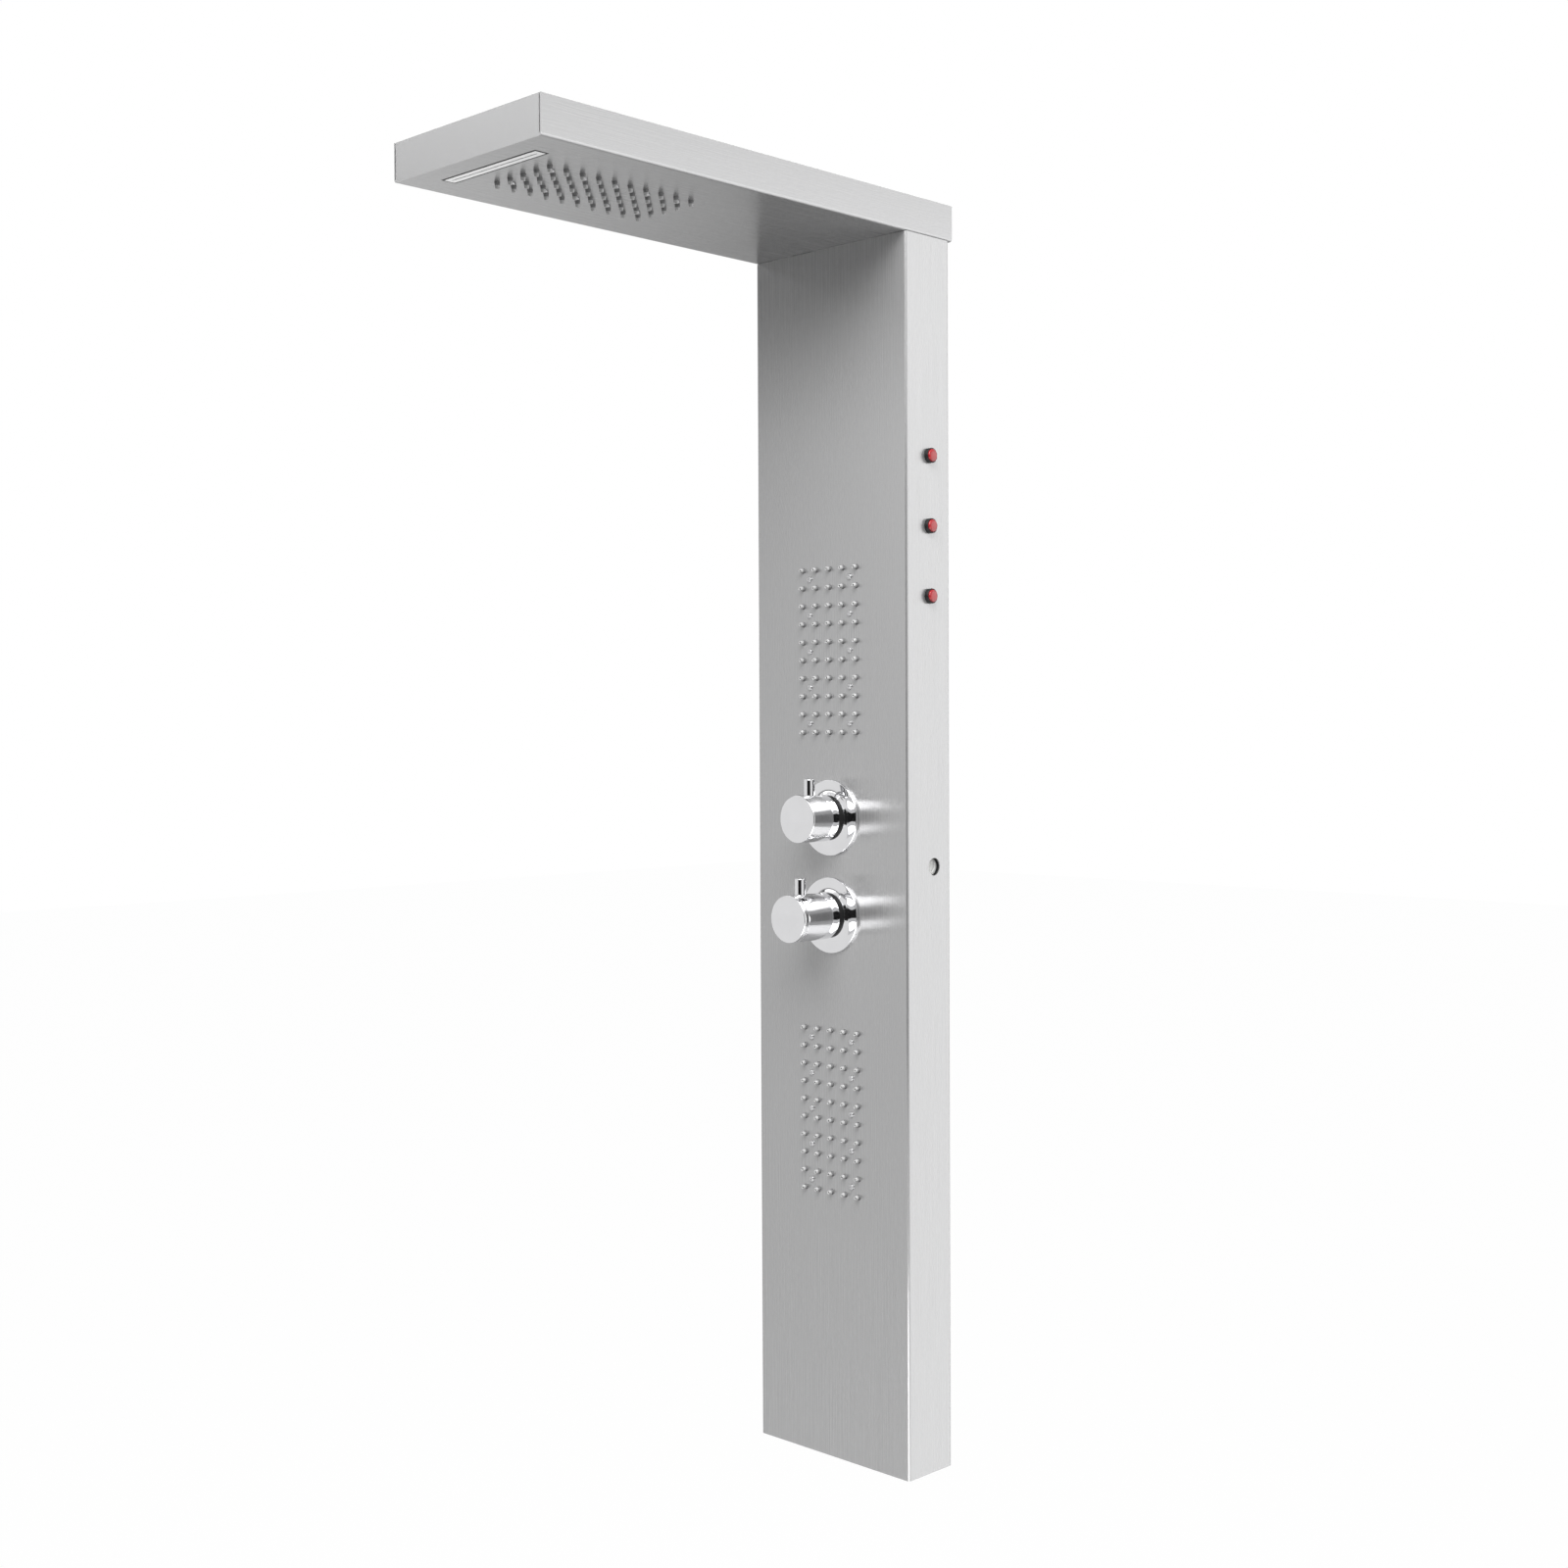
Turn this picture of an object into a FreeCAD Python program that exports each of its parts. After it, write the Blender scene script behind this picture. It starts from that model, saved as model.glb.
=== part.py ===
"""A wall-hung shower column: a folded steel casing with an overhead arm, jets, valves and push buttons.

The frame is in millimetres: +X to the right as seen from the front, -Y out from the wall, +Z up. The origin
lies on the wall, midway between the upper bracket's screws. Levels are heights above the casing's bottom
edge, and reaches and setbacks are distances out from the wall.
"""
import FreeCAD, Part

import math
import os
import re

import Sketcher

JET_COLUMNS = 5
BLOCK_ROWS = 2
BLOCK_COUNT = 5
BUTTON_NAMES = ["bottom", "middle", "top"]

SIZES = {
    # Casing of the column
    "column_width": 200,
    "column_depth": 63,
    "column_height": 1190.7,
    "wall_gap": 5,
    "sheet_gauge": 1.2,
    "bend_radius": 2.5,
    "return_width": 15,
    "fit_gap": 0.3,
    "bottom_lip": 12,
    "hose_hole_radius": 18,
    # Overhead arm
    "arm_seam": 0.3,
    "arm_height": 34,
    "arm_length": 505,
    "arm_lap": 8,
    "corner_slit": 1.2,
    "window_margin": 17,
    "rail_leg": 10,
    "rail_gauge": 1.5,
    "rail_end_gap": 12,
    "cover_screw_radius": 1.5,
    "cover_head_radius": 2.8,
    "cover_screw_length": 7,
    # Angles and bolts that join the arm to the column
    "angle_gauge": 2,
    "angle_drop": 60,
    "angle_margin": 8,
    "bolt_radius": 2.5,
    "bolt_head_radius": 4.25,
    "bolt_head_height": 3,
    "bolt_length": 9,
    "bolt_spacing": 26,
    # Wall brackets and the bars that hang on them
    "bracket_top_gap": 80.7,
    "lower_bracket_level": 80,
    "bracket_width": 120,
    "bracket_gauge": 2,
    "bracket_drop": 14,
    "tongue_rise": 28,
    "hook_lip": 10,
    "hook_clearance": 0.5,
    "wall_screw_spacing": 80,
    "wall_hole_radius": 3.25,
    "bar_gauge": 3,
    "bar_web": 12,
    "window_drop": 8,
    # Jet grids, alike on the column and in the arm
    "jet_feed_drop": 32,
    "rain_gap": 3.7,
    "jet_pitch": 17.8,
    "nozzle_base_radius": 2.5,
    "nozzle_tip_radius": 1.8,
    "nozzle_reach": 5.5,
    "nozzle_bore_radius": 0.7,
    "nozzle_clearance": 0.2,
    "block_thickness": 6,
    "block_margin": 8.4,
    "block_gap": 1,
    "manifold_wall": 3,
    "manifold_ledge": 2,
    "manifold_depth": 20,
    "rib_half_width": 3.5,
    "rib_end_gap": 12,
    "jet_screw_radius": 1.2,
    "jet_screw_head_radius": 2.8,
    "jet_screw_head_height": 1.8,
    "jet_screw_length": 14,
    "jet_screw_clearance": 0.4,
    "boss_half_width": 14,
    "boss_depth": 36,
    "boss_way_radius": 6,
    # Waterfall outlet near the arm's front end
    "slot_end_gap": 30,
    "slot_side_gap": 36,
    "slot_width": 15,
    "lip_gap": 0.3,
    "lip_drop": 0.2,
    "slit_width": 1.2,
    "slit_end_margin": 5,
    "flange_thickness": 2,
    "chamber_side_gap": 14.3,
    "chamber_half_depth": 15,
    "chamber_height": 18,
    "chamber_wall": 3,
    # Thermostatic mixer and flow valve
    "valve_gap": 45.7,
    "knob_spacing": 96,
    "hose_room": 68.7,
    "valve_side_gap": 62,
    "valve_half_height": 26,
    "valve_depth": 40,
    "neck_radius": 17,
    "neck_reach": 5,
    "cartridge_radius": 14,
    "cartridge_depth": 31,
    "cartridge_nose_radius": 9,
    "cartridge_nose_reach": 4,
    "spindle_radius": 4,
    "spindle_depth": 20,
    "running_clearance": 0.05,
    "port_setback": 43,
    "mixer_arm_half_height": 15,
    "mixer_arm_half_depth": 13,
    "inlet_side_gap": 30,
    "inlet_gap": 1,
    "inlet_thread_radius": 10.475,
    "inlet_thread_length": 13,
    "inlet_collar_radius": 13,
    "inlet_collar_height": 5,
    "inlet_bore_radius": 7,
    "supply_way_radius": 5,
    # Knobs, their pins and the covers on the panel
    "knob_radius": 23,
    "flow_knob_front": 47.5,
    "mixer_knob_front": 60.7,
    "knob_wall": 3.5,
    "knob_crown": 6,
    "knob_hub_radius": 8,
    "knob_edge": 0.8,
    "cap_line_setback": 5,
    "cap_line_width": 0.7,
    "pin_radius": 5.25,
    "pin_reach": 16,
    "pin_setback": 17.5,
    "pin_edge": 0.6,
    "pin_stud_radius": 2.5,
    "escutcheon_radius": 37.5,
    "escutcheon_rim": 3,
    "boss_base_radius": 28,
    "boss_top_radius": 23,
    "boss_height": 5.3,
    "ring_radius": 21.5,
    "ring_bore_radius": 14.5,
    "ring_width": 6.2,
    # Push buttons and the selector valve behind them
    "button_top_gap": 275.7,
    "button_spacing": 67,
    "button_setback": 35,
    "button_travel": 2,
    "bezel_radius": 7.2,
    "bezel_projection": 4.3,
    "bezel_counterbore": 3.7,
    "bezel_shank_radius": 4.9,
    "cap_radius": 6,
    "cap_projection": 2.2,
    "cap_edge": 1.2,
    "stem_radius": 2.5,
    "collar_radius": 3.8,
    "collar_thickness": 1.5,
    "chamber_radius": 4.2,
    "chamber_depth": 16,
    "stem_seat": 4,
    "spring_wire": 0.8,
    "nut_radius": 8,
    "nut_thickness": 3,
    "selector_gap": 14,
    "selector_thickness": 27,
    "selector_clearance": 0.8,
    "selector_margin": 18,
    "selector_cover": 2,
    # Pipes
    "pipe_radius": 5.5,
    "pipe_wall": 1.2,
    "pipe_bend": 20,
    "tight_bend": 12,
    "pipe_pair_spacing": 12,
    "riser_side_gap": 25,
    "link_setback": 17,
    "rain_port_offset": 30,
    # Hose outlet in the column's side, closed by a plug
    "outlet_drop": 46,
    "outlet_setback": 29,
    "outlet_radius": 8.5,
    "bush_radius": 11.5,
    "bush_length": 20,
    "bush_floor": 3,
    "plug_recess": 4.2,
    "plug_length": 8,
    "outlet_pipe_reach": 20,
}

DERIVED = {
    "half_width": "column_width / 2",
    "inner_half": "half_width - sheet_gauge",
    "panel_front": "wall_gap + column_depth",
    "panel_back": "panel_front - sheet_gauge",
    "return_face": "wall_gap + sheet_gauge",
    "arm_level": "column_height + arm_seam",
    "arm_inner_height": "arm_height - sheet_gauge",
    "window_half": "inner_half - window_margin",
    "array_half_width": "jet_pitch * %d" % (JET_COLUMNS // 2) + " + block_margin",
    "array_half_length": "jet_pitch * %d" % (BLOCK_ROWS * BLOCK_COUNT) + " / 2",
    "manifold_half_length": "array_half_length + fit_gap + manifold_wall",
    "block_pitch": "jet_pitch * %d" % BLOCK_ROWS,
    "jet_screw_column": "jet_pitch * 1.5",
    "first_row": "jet_pitch / 2 - array_half_length",
    "first_column": "-jet_pitch * %d" % (JET_COLUMNS // 2),
    "block_back": "sheet_gauge + block_thickness",
    "manifold_back": "sheet_gauge + manifold_depth",
    "bar_back": "return_face + bar_gauge",
    "pipe_bore": "pipe_radius - pipe_wall",
    "pipe_rise": "sheet_gauge + manifold_depth / 2",
    "bezel_shank": "sheet_gauge + selector_gap",
    "bezel_floor": "bezel_projection - bezel_counterbore",
    "selector_face": "bezel_shank + selector_cover",
    "collar_front": "selector_face + fit_gap",
    "collar_back": "collar_front + collar_thickness",
    "chamber_floor": "selector_face + chamber_depth",
    "selector_x": "half_width - selector_face - selector_thickness / 2",
    "selector_half_height": "button_spacing + selector_margin",
    "selector_half_depth": "panel_back - manifold_depth - selector_clearance - button_setback",
    "selector_inlet_rise": "chamber_radius + pipe_bore - pipe_wall / 2",
    "bracket_level": "column_height - bracket_top_gap",
    "button_level": "column_height - button_top_gap",
    "upper_jet_level": "button_level - selector_half_height - jet_feed_drop",
    "flow_level": "upper_jet_level - manifold_half_length - valve_gap - valve_half_height",
    "outlet_level": "flow_level - outlet_drop",
    "mixer_level": "flow_level - knob_spacing",
    "valve_half_width": "half_width - valve_side_gap",
    "riser_offset": "half_width - riser_side_gap",
    "inlet_spread": "half_width - inlet_side_gap",
    "mixer_arm_half_width": "inlet_spread + inlet_collar_radius + inlet_gap",
    "inlet_end": "mixer_arm_half_height + inlet_collar_height + inlet_thread_length",
    "lower_jet_level": "mixer_level - inlet_end - hose_room - manifold_half_length",
    "slot_length": "column_width - 2 * slot_side_gap",
    "lip_length": "slot_length - 2 * lip_gap",
    "lip_width": "slot_width - 2 * lip_gap",
    "chamber_half_length": "inner_half - chamber_side_gap",
    "waterfall_reach": "arm_length - slot_end_gap",
    "rain_reach": "waterfall_reach - chamber_half_depth - rain_gap - manifold_half_length",
    "ring_front": "boss_height + ring_width",
    "knob_back": "ring_front + fit_gap",
}

doc = FreeCAD.newDocument("ShowerColumn")
sheet = doc.addObject("Spreadsheet::Sheet", "Sizes")
pieces = []


def fill_sheet():
    """Write the driving dimensions, then the sizes that follow from them, each with its own name."""
    cells = dict(SIZES)
    cells.update({name: "=" + formula for name, formula in DERIVED.items()})
    for row, (name, content) in enumerate(cells.items(), 1):
        sheet.set("A%d" % row, name)
        sheet.set("B%d" % row, str(content))
        sheet.setAlias("B%d" % row, name)
    doc.recompute()


def size(name):
    """The present value of a named size."""
    return float(sheet.get(name))


def bound(expression):
    """Point every size that an expression names at its cell in the sheet."""
    def at_sheet(match):
        word = match.group()
        return "Sizes." + word if word in SIZES or word in DERIVED else word
    return re.sub(r"[a-z][a-z_0-9]*", at_sheet, expression)


def bind(item, setting, expression):
    item.setExpression(setting, bound(expression))


def new_piece(label, across="0", out="0", level="bracket_level", turn=None):
    """Start a piece whose own origin stands at a place across, out from the wall and at a level."""
    body = doc.addObject("PartDesign::Body", label)
    body.Label = label
    body.AllowCompound = True
    if turn:
        body.Placement = FreeCAD.Placement(FreeCAD.Vector(), turn)
    bind(body, "Placement.Base.x", across)
    bind(body, "Placement.Base.y", "-1 * (%s)" % out)
    bind(body, "Placement.Base.z", "(%s) - bracket_level" % level)
    pieces.append(body)
    return body


def origin_feature(body, role):
    return next(item for item in body.Origin.OriginFeatures if item.Role == role)


def tie_point(sketch, geometry, end, across, along):
    """Fix a sketch point at its two coordinates, each an expression of named sizes."""
    places = (("DistanceX", across, -2), ("DistanceY", along, -1))
    for kind, expression, axis in places:
        if expression == "0":
            sketch.addConstraint(Sketcher.Constraint("PointOnObject", geometry, end, axis))
        else:
            number = sketch.addConstraint(Sketcher.Constraint(kind, -1, 1, geometry, end, 1.0))
            bind(sketch, "Constraints[%d]" % number, expression)


def draw_outline(sketch, points):
    count = len(points)
    first = sketch.GeometryCount
    turns = [2 * math.pi * index / count for index in range(count)]
    corners = [FreeCAD.Vector(math.cos(turn), math.sin(turn), 0) for turn in turns]
    sketch.addGeometry([Part.LineSegment(corners[i], corners[(i + 1) % count]) for i in range(count)])
    for index, (across, along) in enumerate(points):
        following = first + (index + 1) % count
        sketch.addConstraint(Sketcher.Constraint("Coincident", first + index, 2, following, 1))
        tie_point(sketch, first + index, 1, across, along)


def draw_circle(sketch, across, along, radius):
    circle = Part.Circle(FreeCAD.Vector(1, 1, 0), FreeCAD.Vector(0, 0, 1), 1.0)
    number = sketch.addGeometry(circle)
    radius_tie = sketch.addConstraint(Sketcher.Constraint("Radius", number, 1.0))
    bind(sketch, "Constraints[%d]" % radius_tie, radius)
    tie_point(sketch, number, 3, across, along)


def sketch_on(body, plane, offset, outlines, circles):
    """Sketch on an origin plane of a body. XY faces up, XZ faces the front and YZ faces right."""
    sketch = body.newObject("Sketcher::SketchObject", "Sketch")
    sketch.AttachmentSupport = [(origin_feature(body, plane + "_Plane"), "")]
    sketch.MapMode = "FlatFace"
    bind(sketch, "AttachmentOffset.Base.z", offset)
    for points in outlines:
        draw_outline(sketch, points)
    for across, along, radius in circles:
        draw_circle(sketch, across, along, radius)
    return sketch


def pad(body, plane, offset, length, outlines=(), circles=()):
    """Add material from a plane's offset, along the way the plane faces."""
    sketch = sketch_on(body, plane, offset, outlines, circles)
    feature = body.newObject("PartDesign::Pad", "Pad")
    feature.Profile = sketch
    bind(feature, "Length", length)
    return feature


def pocket(body, plane, offset, length, outlines=(), circles=(), forward=False):
    """Cut from a plane's offset against the way the plane faces, or forward along it."""
    before = tip_volume(body)
    sketch = sketch_on(body, plane, offset, outlines, circles)
    feature = body.newObject("PartDesign::Pocket", "Pocket")
    feature.Profile = sketch
    feature.Reversed = forward
    bind(feature, "Length", length)
    if tip_volume(body) >= before:
        raise ValueError("a cut in %s takes nothing away" % body.Label)
    return feature


def tip_volume(body):
    doc.recompute()
    return body.Tip.Shape.Volume


def turned(body, axis, profile, shift=("0", "0", "0")):
    """Turn a profile of (radius, along) points a full circle about an axis of the piece."""
    plane, line = {"X": ("XY", "H_Axis"), "Y": ("XY", "V_Axis"), "Z": ("XZ", "V_Axis")}[axis]
    points = [(along, radius) if axis == "X" else (radius, along) for radius, along in profile]
    sketch = sketch_on(body, plane, shift[2], [points], [])
    bind(sketch, "AttachmentOffset.Base.x", shift[0])
    bind(sketch, "AttachmentOffset.Base.y", shift[1])
    feature = body.newObject("PartDesign::Revolution", "Turned")
    feature.Profile = sketch
    feature.ReferenceAxis = (sketch, [line])
    feature.Angle = 360
    return feature


def repeat(body, originals, axis, length, count, second=None):
    """Repeat features in a row along one axis, or in a grid with a second axis, length and count."""
    pattern = body.newObject("PartDesign::LinearPattern", "Row")
    pattern.Originals = originals
    pattern.Direction = (origin_feature(body, axis + "_Axis"), [""])
    bind(pattern, "Length", length)
    pattern.Occurrences = count
    if second:
        pattern.Direction2 = (origin_feature(body, second[0] + "_Axis"), [""])
        bind(pattern, "Length2", second[1])
        pattern.Occurrences2 = second[2]
    body.Tip = pattern
    return pattern


def round_edges(body, radius, axis, wanted):
    """Round the edges of a piece that run along an axis and whose ends both pass a test on their place."""
    doc.recompute()
    base = body.Tip
    names = []
    for number, edge in enumerate(base.Shape.Edges, 1):
        ends = [vertex.Point for vertex in edge.Vertexes]
        if len(ends) == 2 and runs_along(ends, axis) and all(wanted(*end) for end in ends):
            names.append("Edge%d" % number)
    if not names:
        raise ValueError("no edge to round on " + body.Label)
    fillet = body.newObject("PartDesign::Fillet", "Rounding")
    fillet.Base = (base, names)
    bind(fillet, "Radius", radius)


def runs_along(ends, axis):
    others = [index for index in range(3) if "XYZ"[index] != axis]
    return all(near(ends[0][index], ends[1][index]) for index in others)


def near(value, wanted):
    return abs(value - wanted) < 1e-4


def box_outline(left, right, low, high):
    return [(left, low), (right, low), (right, high), (left, high)]


def centred(half_across, half_along):
    return box_outline("-1 * (%s)" % half_across, half_across, "-1 * (%s)" % half_along, half_along)


def column_casing():
    """One sheet folded into a channel with narrow returns at the wall, drilled for all that shows on it."""
    body = new_piece("column_casing", level="0")
    right_half = [
        ("half_width", "-panel_front"),
        ("half_width", "-wall_gap"),
        ("half_width - return_width", "-wall_gap"),
        ("half_width - return_width", "-return_face"),
        ("inner_half", "-return_face"),
        ("inner_half", "-panel_back"),
    ]
    left_half = [("-(%s)" % across, along) for across, along in reversed(right_half)]
    pad(body, "XY", "0", "column_height", [right_half + left_half])
    outer_x = size("half_width")
    inner_x = size("inner_half")
    outer_y = (-size("panel_front"), -size("wall_gap"))
    inner_y = (-size("panel_back"), -size("return_face"))
    round_edges(body, "bend_radius", "Z",
                lambda x, y, z: near(abs(x), outer_x) and any(near(y, end) for end in outer_y))
    round_edges(body, "bend_radius - sheet_gauge", "Z",
                lambda x, y, z: near(abs(x), inner_x) and any(near(y, end) for end in inner_y))
    for level in ("upper_jet_level", "lower_jet_level"):
        drill_jet_holes(body, "XZ", "panel_front", level)
    neck_hole = "neck_radius + nozzle_clearance"
    valve_holes = [("0", level, neck_hole) for level in ("flow_level", "mixer_level")]
    pocket(body, "XZ", "panel_front", "2 * sheet_gauge", circles=valve_holes)
    shank_hole = "bezel_shank_radius + running_clearance"
    side_holes = [("-button_setback", "button_level + button_spacing * %d" % step, shank_hole)
                  for step in (-1, 0, 1)]
    side_holes.append(("-outlet_setback", "outlet_level", "outlet_radius"))
    pocket(body, "YZ", "half_width", "2 * sheet_gauge", circles=side_holes)


def drill_jet_holes(body, plane, offset, centre, forward=False):
    """Drill one block's nozzle and screw holes through a sheet, then repeat them along the grid."""
    holes = []
    for column in range(JET_COLUMNS):
        for row in range(BLOCK_ROWS):
            across = "first_column + jet_pitch * %d" % column
            along = "%s + first_row + jet_pitch * %d" % (centre, row)
            holes.append((across, along, "nozzle_base_radius + nozzle_clearance"))
    for side in (-1, 1):
        along = "%s + first_row + jet_pitch / 2" % centre
        holes.append(("jet_screw_column * %d" % side, along, "jet_screw_radius + jet_screw_clearance"))
    drilled = pocket(body, plane, offset, "2 * sheet_gauge", circles=holes, forward=forward)
    axis = {"XZ": "Z", "XY": "Y"}[plane]
    repeat(body, [drilled], axis, "block_pitch * %d" % (BLOCK_COUNT - 1), BLOCK_COUNT)


def bottom_cover():
    """A shallow tray that closes the casing's lower end, with a hole below each supply inlet for its hose."""
    body = new_piece("bottom_cover", level="0")
    outer = "inner_half - fit_gap"
    front = "-panel_back + fit_gap"
    rear = "-return_face - fit_gap"
    pad(body, "XY", "0", "bottom_lip", [box_outline("-(%s)" % outer, outer, front, rear)])
    round_edges(body, "bend_radius", "Z", lambda x, y, z: True)
    inner = outer + " - sheet_gauge"
    hollow = box_outline("-(%s)" % inner, inner, front + " + sheet_gauge", "0")
    pocket(body, "XY", "bottom_lip", "bottom_lip - sheet_gauge", [hollow])
    hose_holes = [("%d * inlet_spread" % side, "-port_setback", "hose_hole_radius") for side in (-1, 1)]
    pocket(body, "XY", "sheet_gauge", "2 * sheet_gauge", circles=hose_holes)


def arm_tray():
    """The arm's underside, sides and ends, folded up from one sheet and open above the column."""
    body = new_piece("arm_tray", level="arm_level")
    pad(body, "XY", "0", "arm_height", [box_outline("-half_width", "half_width", "-arm_length", "0")])
    side_x = size("half_width")
    round_edges(body, "bend_radius", "Y", lambda x, y, z: near(z, 0) and near(abs(x), side_x))
    inside = box_outline("-inner_half", "inner_half", "-arm_length + sheet_gauge", "-sheet_gauge")
    pocket(body, "XY", "arm_height", "arm_inner_height", [inside])
    window = box_outline("-window_half", "window_half", "-panel_front + arm_lap", "-arm_lap")
    pocket(body, "XY", "sheet_gauge", "2 * sheet_gauge", [window])
    half_slot = "slot_width / 2"
    slot = box_outline("-slot_length / 2", "slot_length / 2",
                       "-waterfall_reach - " + half_slot, "-waterfall_reach + " + half_slot)
    pocket(body, "XY", "sheet_gauge", "2 * sheet_gauge", [slot])
    drill_jet_holes(body, "XY", "sheet_gauge", "-rain_reach")
    slits = []
    for side in (-1, 1):
        edges = ["%d * (inner_half - corner_slit)" % side, "%d * inner_half" % side]
        slits.append(box_outline(edges[0], edges[1], "bend_radius", "arm_height + sheet_gauge"))
    pocket(body, "XZ", "arm_length", "sheet_gauge", slits)
    bolts = bolt_places()
    pocket(body, "XY", "sheet_gauge", "2 * sheet_gauge",
           circles=[(across, along, "bolt_radius + fit_gap") for across, along in bolts])


def bolt_places():
    """Where the bolts of the joint between arm and column stand, on both sides of the window."""
    across = "inner_half - window_margin / 2"
    middle = "-panel_front / 2"
    return [("%d * (%s)" % (side, across), "%s + %d * bolt_spacing / 2" % (middle, end))
            for side in (-1, 1) for end in (-1, 1)]


def arm_cover():
    """The arm's flat lid, let in flush between its walls."""
    body = new_piece("arm_cover", level="arm_level")
    half = "inner_half - fit_gap"
    plate = box_outline("-(%s)" % half, half, "-arm_length + sheet_gauge + fit_gap", "-sheet_gauge - fit_gap")
    pad(body, "XY", "arm_inner_height", "sheet_gauge", [plate])
    heads = [(across, along, "cover_head_radius + running_clearance") for across, along in cover_screw_places()]
    pocket(body, "XY", "arm_height", "2 * sheet_gauge", circles=heads)


def cover_screw_places():
    """Three lid screws along each rail."""
    across = "inner_half - rail_leg / 2"
    span = "(arm_length - panel_front - 4 * rail_end_gap) / 2"
    middle = "-(arm_length + panel_front) / 2"
    return [("%d * (%s)" % (side, across), "%s + %d * %s" % (middle, step, span))
            for side in (-1, 1) for step in (-1, 0, 1)]


def arm_cover_screws():
    """Flush lid screws, in the lid and through the rails below it."""
    body = new_piece("arm_cover_screws", level="arm_level")
    places = cover_screw_places()
    pad(body, "XY", "arm_inner_height", "sheet_gauge",
        circles=[(across, along, "cover_head_radius") for across, along in places])
    pad(body, "XY", "arm_inner_height - cover_screw_length", "cover_screw_length",
        circles=[(across, along, "cover_screw_radius") for across, along in places])


def cover_rail(label, side):
    """An angle along one of the arm's walls, which carries the lid."""
    body = new_piece(label, level="arm_level")
    wall = "%d * inner_half" % side
    tip = "%d * (inner_half - rail_leg)" % side
    web = "%d * (inner_half - rail_gauge)" % side
    top = "arm_inner_height"
    section = [(wall, top), (wall, top + " - rail_leg"), (web, top + " - rail_leg"),
               (web, top + " - rail_gauge"), (tip, top + " - rail_gauge"), (tip, top)]
    length = "arm_length - panel_front - 2 * rail_end_gap"
    pad(body, "XZ", "panel_front + rail_end_gap", length, [section])
    holes = [(across, along, "cover_screw_radius + running_clearance")
             for across, along in cover_screw_places() if across.startswith("%d *" % side)]
    pocket(body, "XY", top, "2 * rail_gauge", circles=holes)


def joint_angle(label, side):
    """An angle inside the casing's top, on which the arm is bolted down."""
    body = new_piece(label, level="arm_level")
    wall = "%d * inner_half" % side
    web = "%d * (inner_half - angle_gauge)" % side
    tip = "%d * (inner_half - window_margin)" % side
    section = [(wall, "0"), (wall, "-angle_drop"), (web, "-angle_drop"), (web, "-angle_gauge"),
               (tip, "-angle_gauge"), (tip, "0")]
    start = "wall_gap + angle_margin"
    pad(body, "XZ", start, "column_depth - 2 * angle_margin", [section])
    holes = [(across, along, "bolt_radius + running_clearance")
             for across, along in bolt_places() if across.startswith("%d *" % side)]
    pocket(body, "XY", "sheet_gauge", "sheet_gauge + 2 * angle_gauge", circles=holes)


def arm_bolts():
    """Bolts from inside the arm, through its underside and the angles."""
    body = new_piece("arm_bolts", level="arm_level")
    places = bolt_places()
    pad(body, "XY", "sheet_gauge", "bolt_head_height",
        circles=[(across, along, "bolt_head_radius") for across, along in places])
    pad(body, "XY", "sheet_gauge - bolt_length", "bolt_length",
        circles=[(across, along, "bolt_radius") for across, along in places])


def wall_bracket(label, level):
    """A strip screwed to the wall, folded out into a tongue and up into a hook."""
    body = new_piece(label, level=level)
    hook_back = "-(bar_back + hook_clearance)"
    hook_front = hook_back + " - bracket_gauge"
    top = "tongue_rise + bracket_gauge"
    section = [("0", "-bracket_drop"), ("0", top), (hook_back, top), (hook_back, top + " + hook_lip"),
               (hook_front, top + " + hook_lip"), (hook_front, "tongue_rise"),
               ("-bracket_gauge", "tongue_rise"), ("-bracket_gauge", "-bracket_drop")]
    pad(body, "YZ", "-bracket_width / 2", "bracket_width", [section])
    holes = [("wall_screw_spacing / 2 * %d" % side, "0", "wall_hole_radius") for side in (-1, 1)]
    pocket(body, "XZ", "2 * bracket_gauge", "3 * bracket_gauge", circles=holes)


def hanger_bar(label, level):
    """A strip across the casing's returns, with the window that drops over a wall bracket's tongue."""
    body = new_piece(label, level=level)
    low = "tongue_rise - window_drop"
    top = "tongue_rise + bracket_gauge"
    half = "inner_half - bend_radius"
    plate = box_outline("-(%s)" % half, half, low + " - bar_web", top + " + bar_web")
    half_window = "bracket_width / 2 + bracket_gauge"
    window = box_outline("-(%s)" % half_window, half_window, low, top)
    pad(body, "XZ", "return_face", "bar_gauge", [plate, window])


def jet_grid(name, out, level, port, turn=None):
    """Nozzle blocks, the manifold behind them and the screws that hold both to the sheet.

    In the grid's own frame the sheet's outer face is at y = 0, faces -Y, and rows run along Z.
    """
    jet_blocks(name + "_jet_blocks", out, level, turn)
    jet_screws(name + "_jet_screws", out, level, turn)
    manifold(name + "_manifold", out, level, turn, port)


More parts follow.
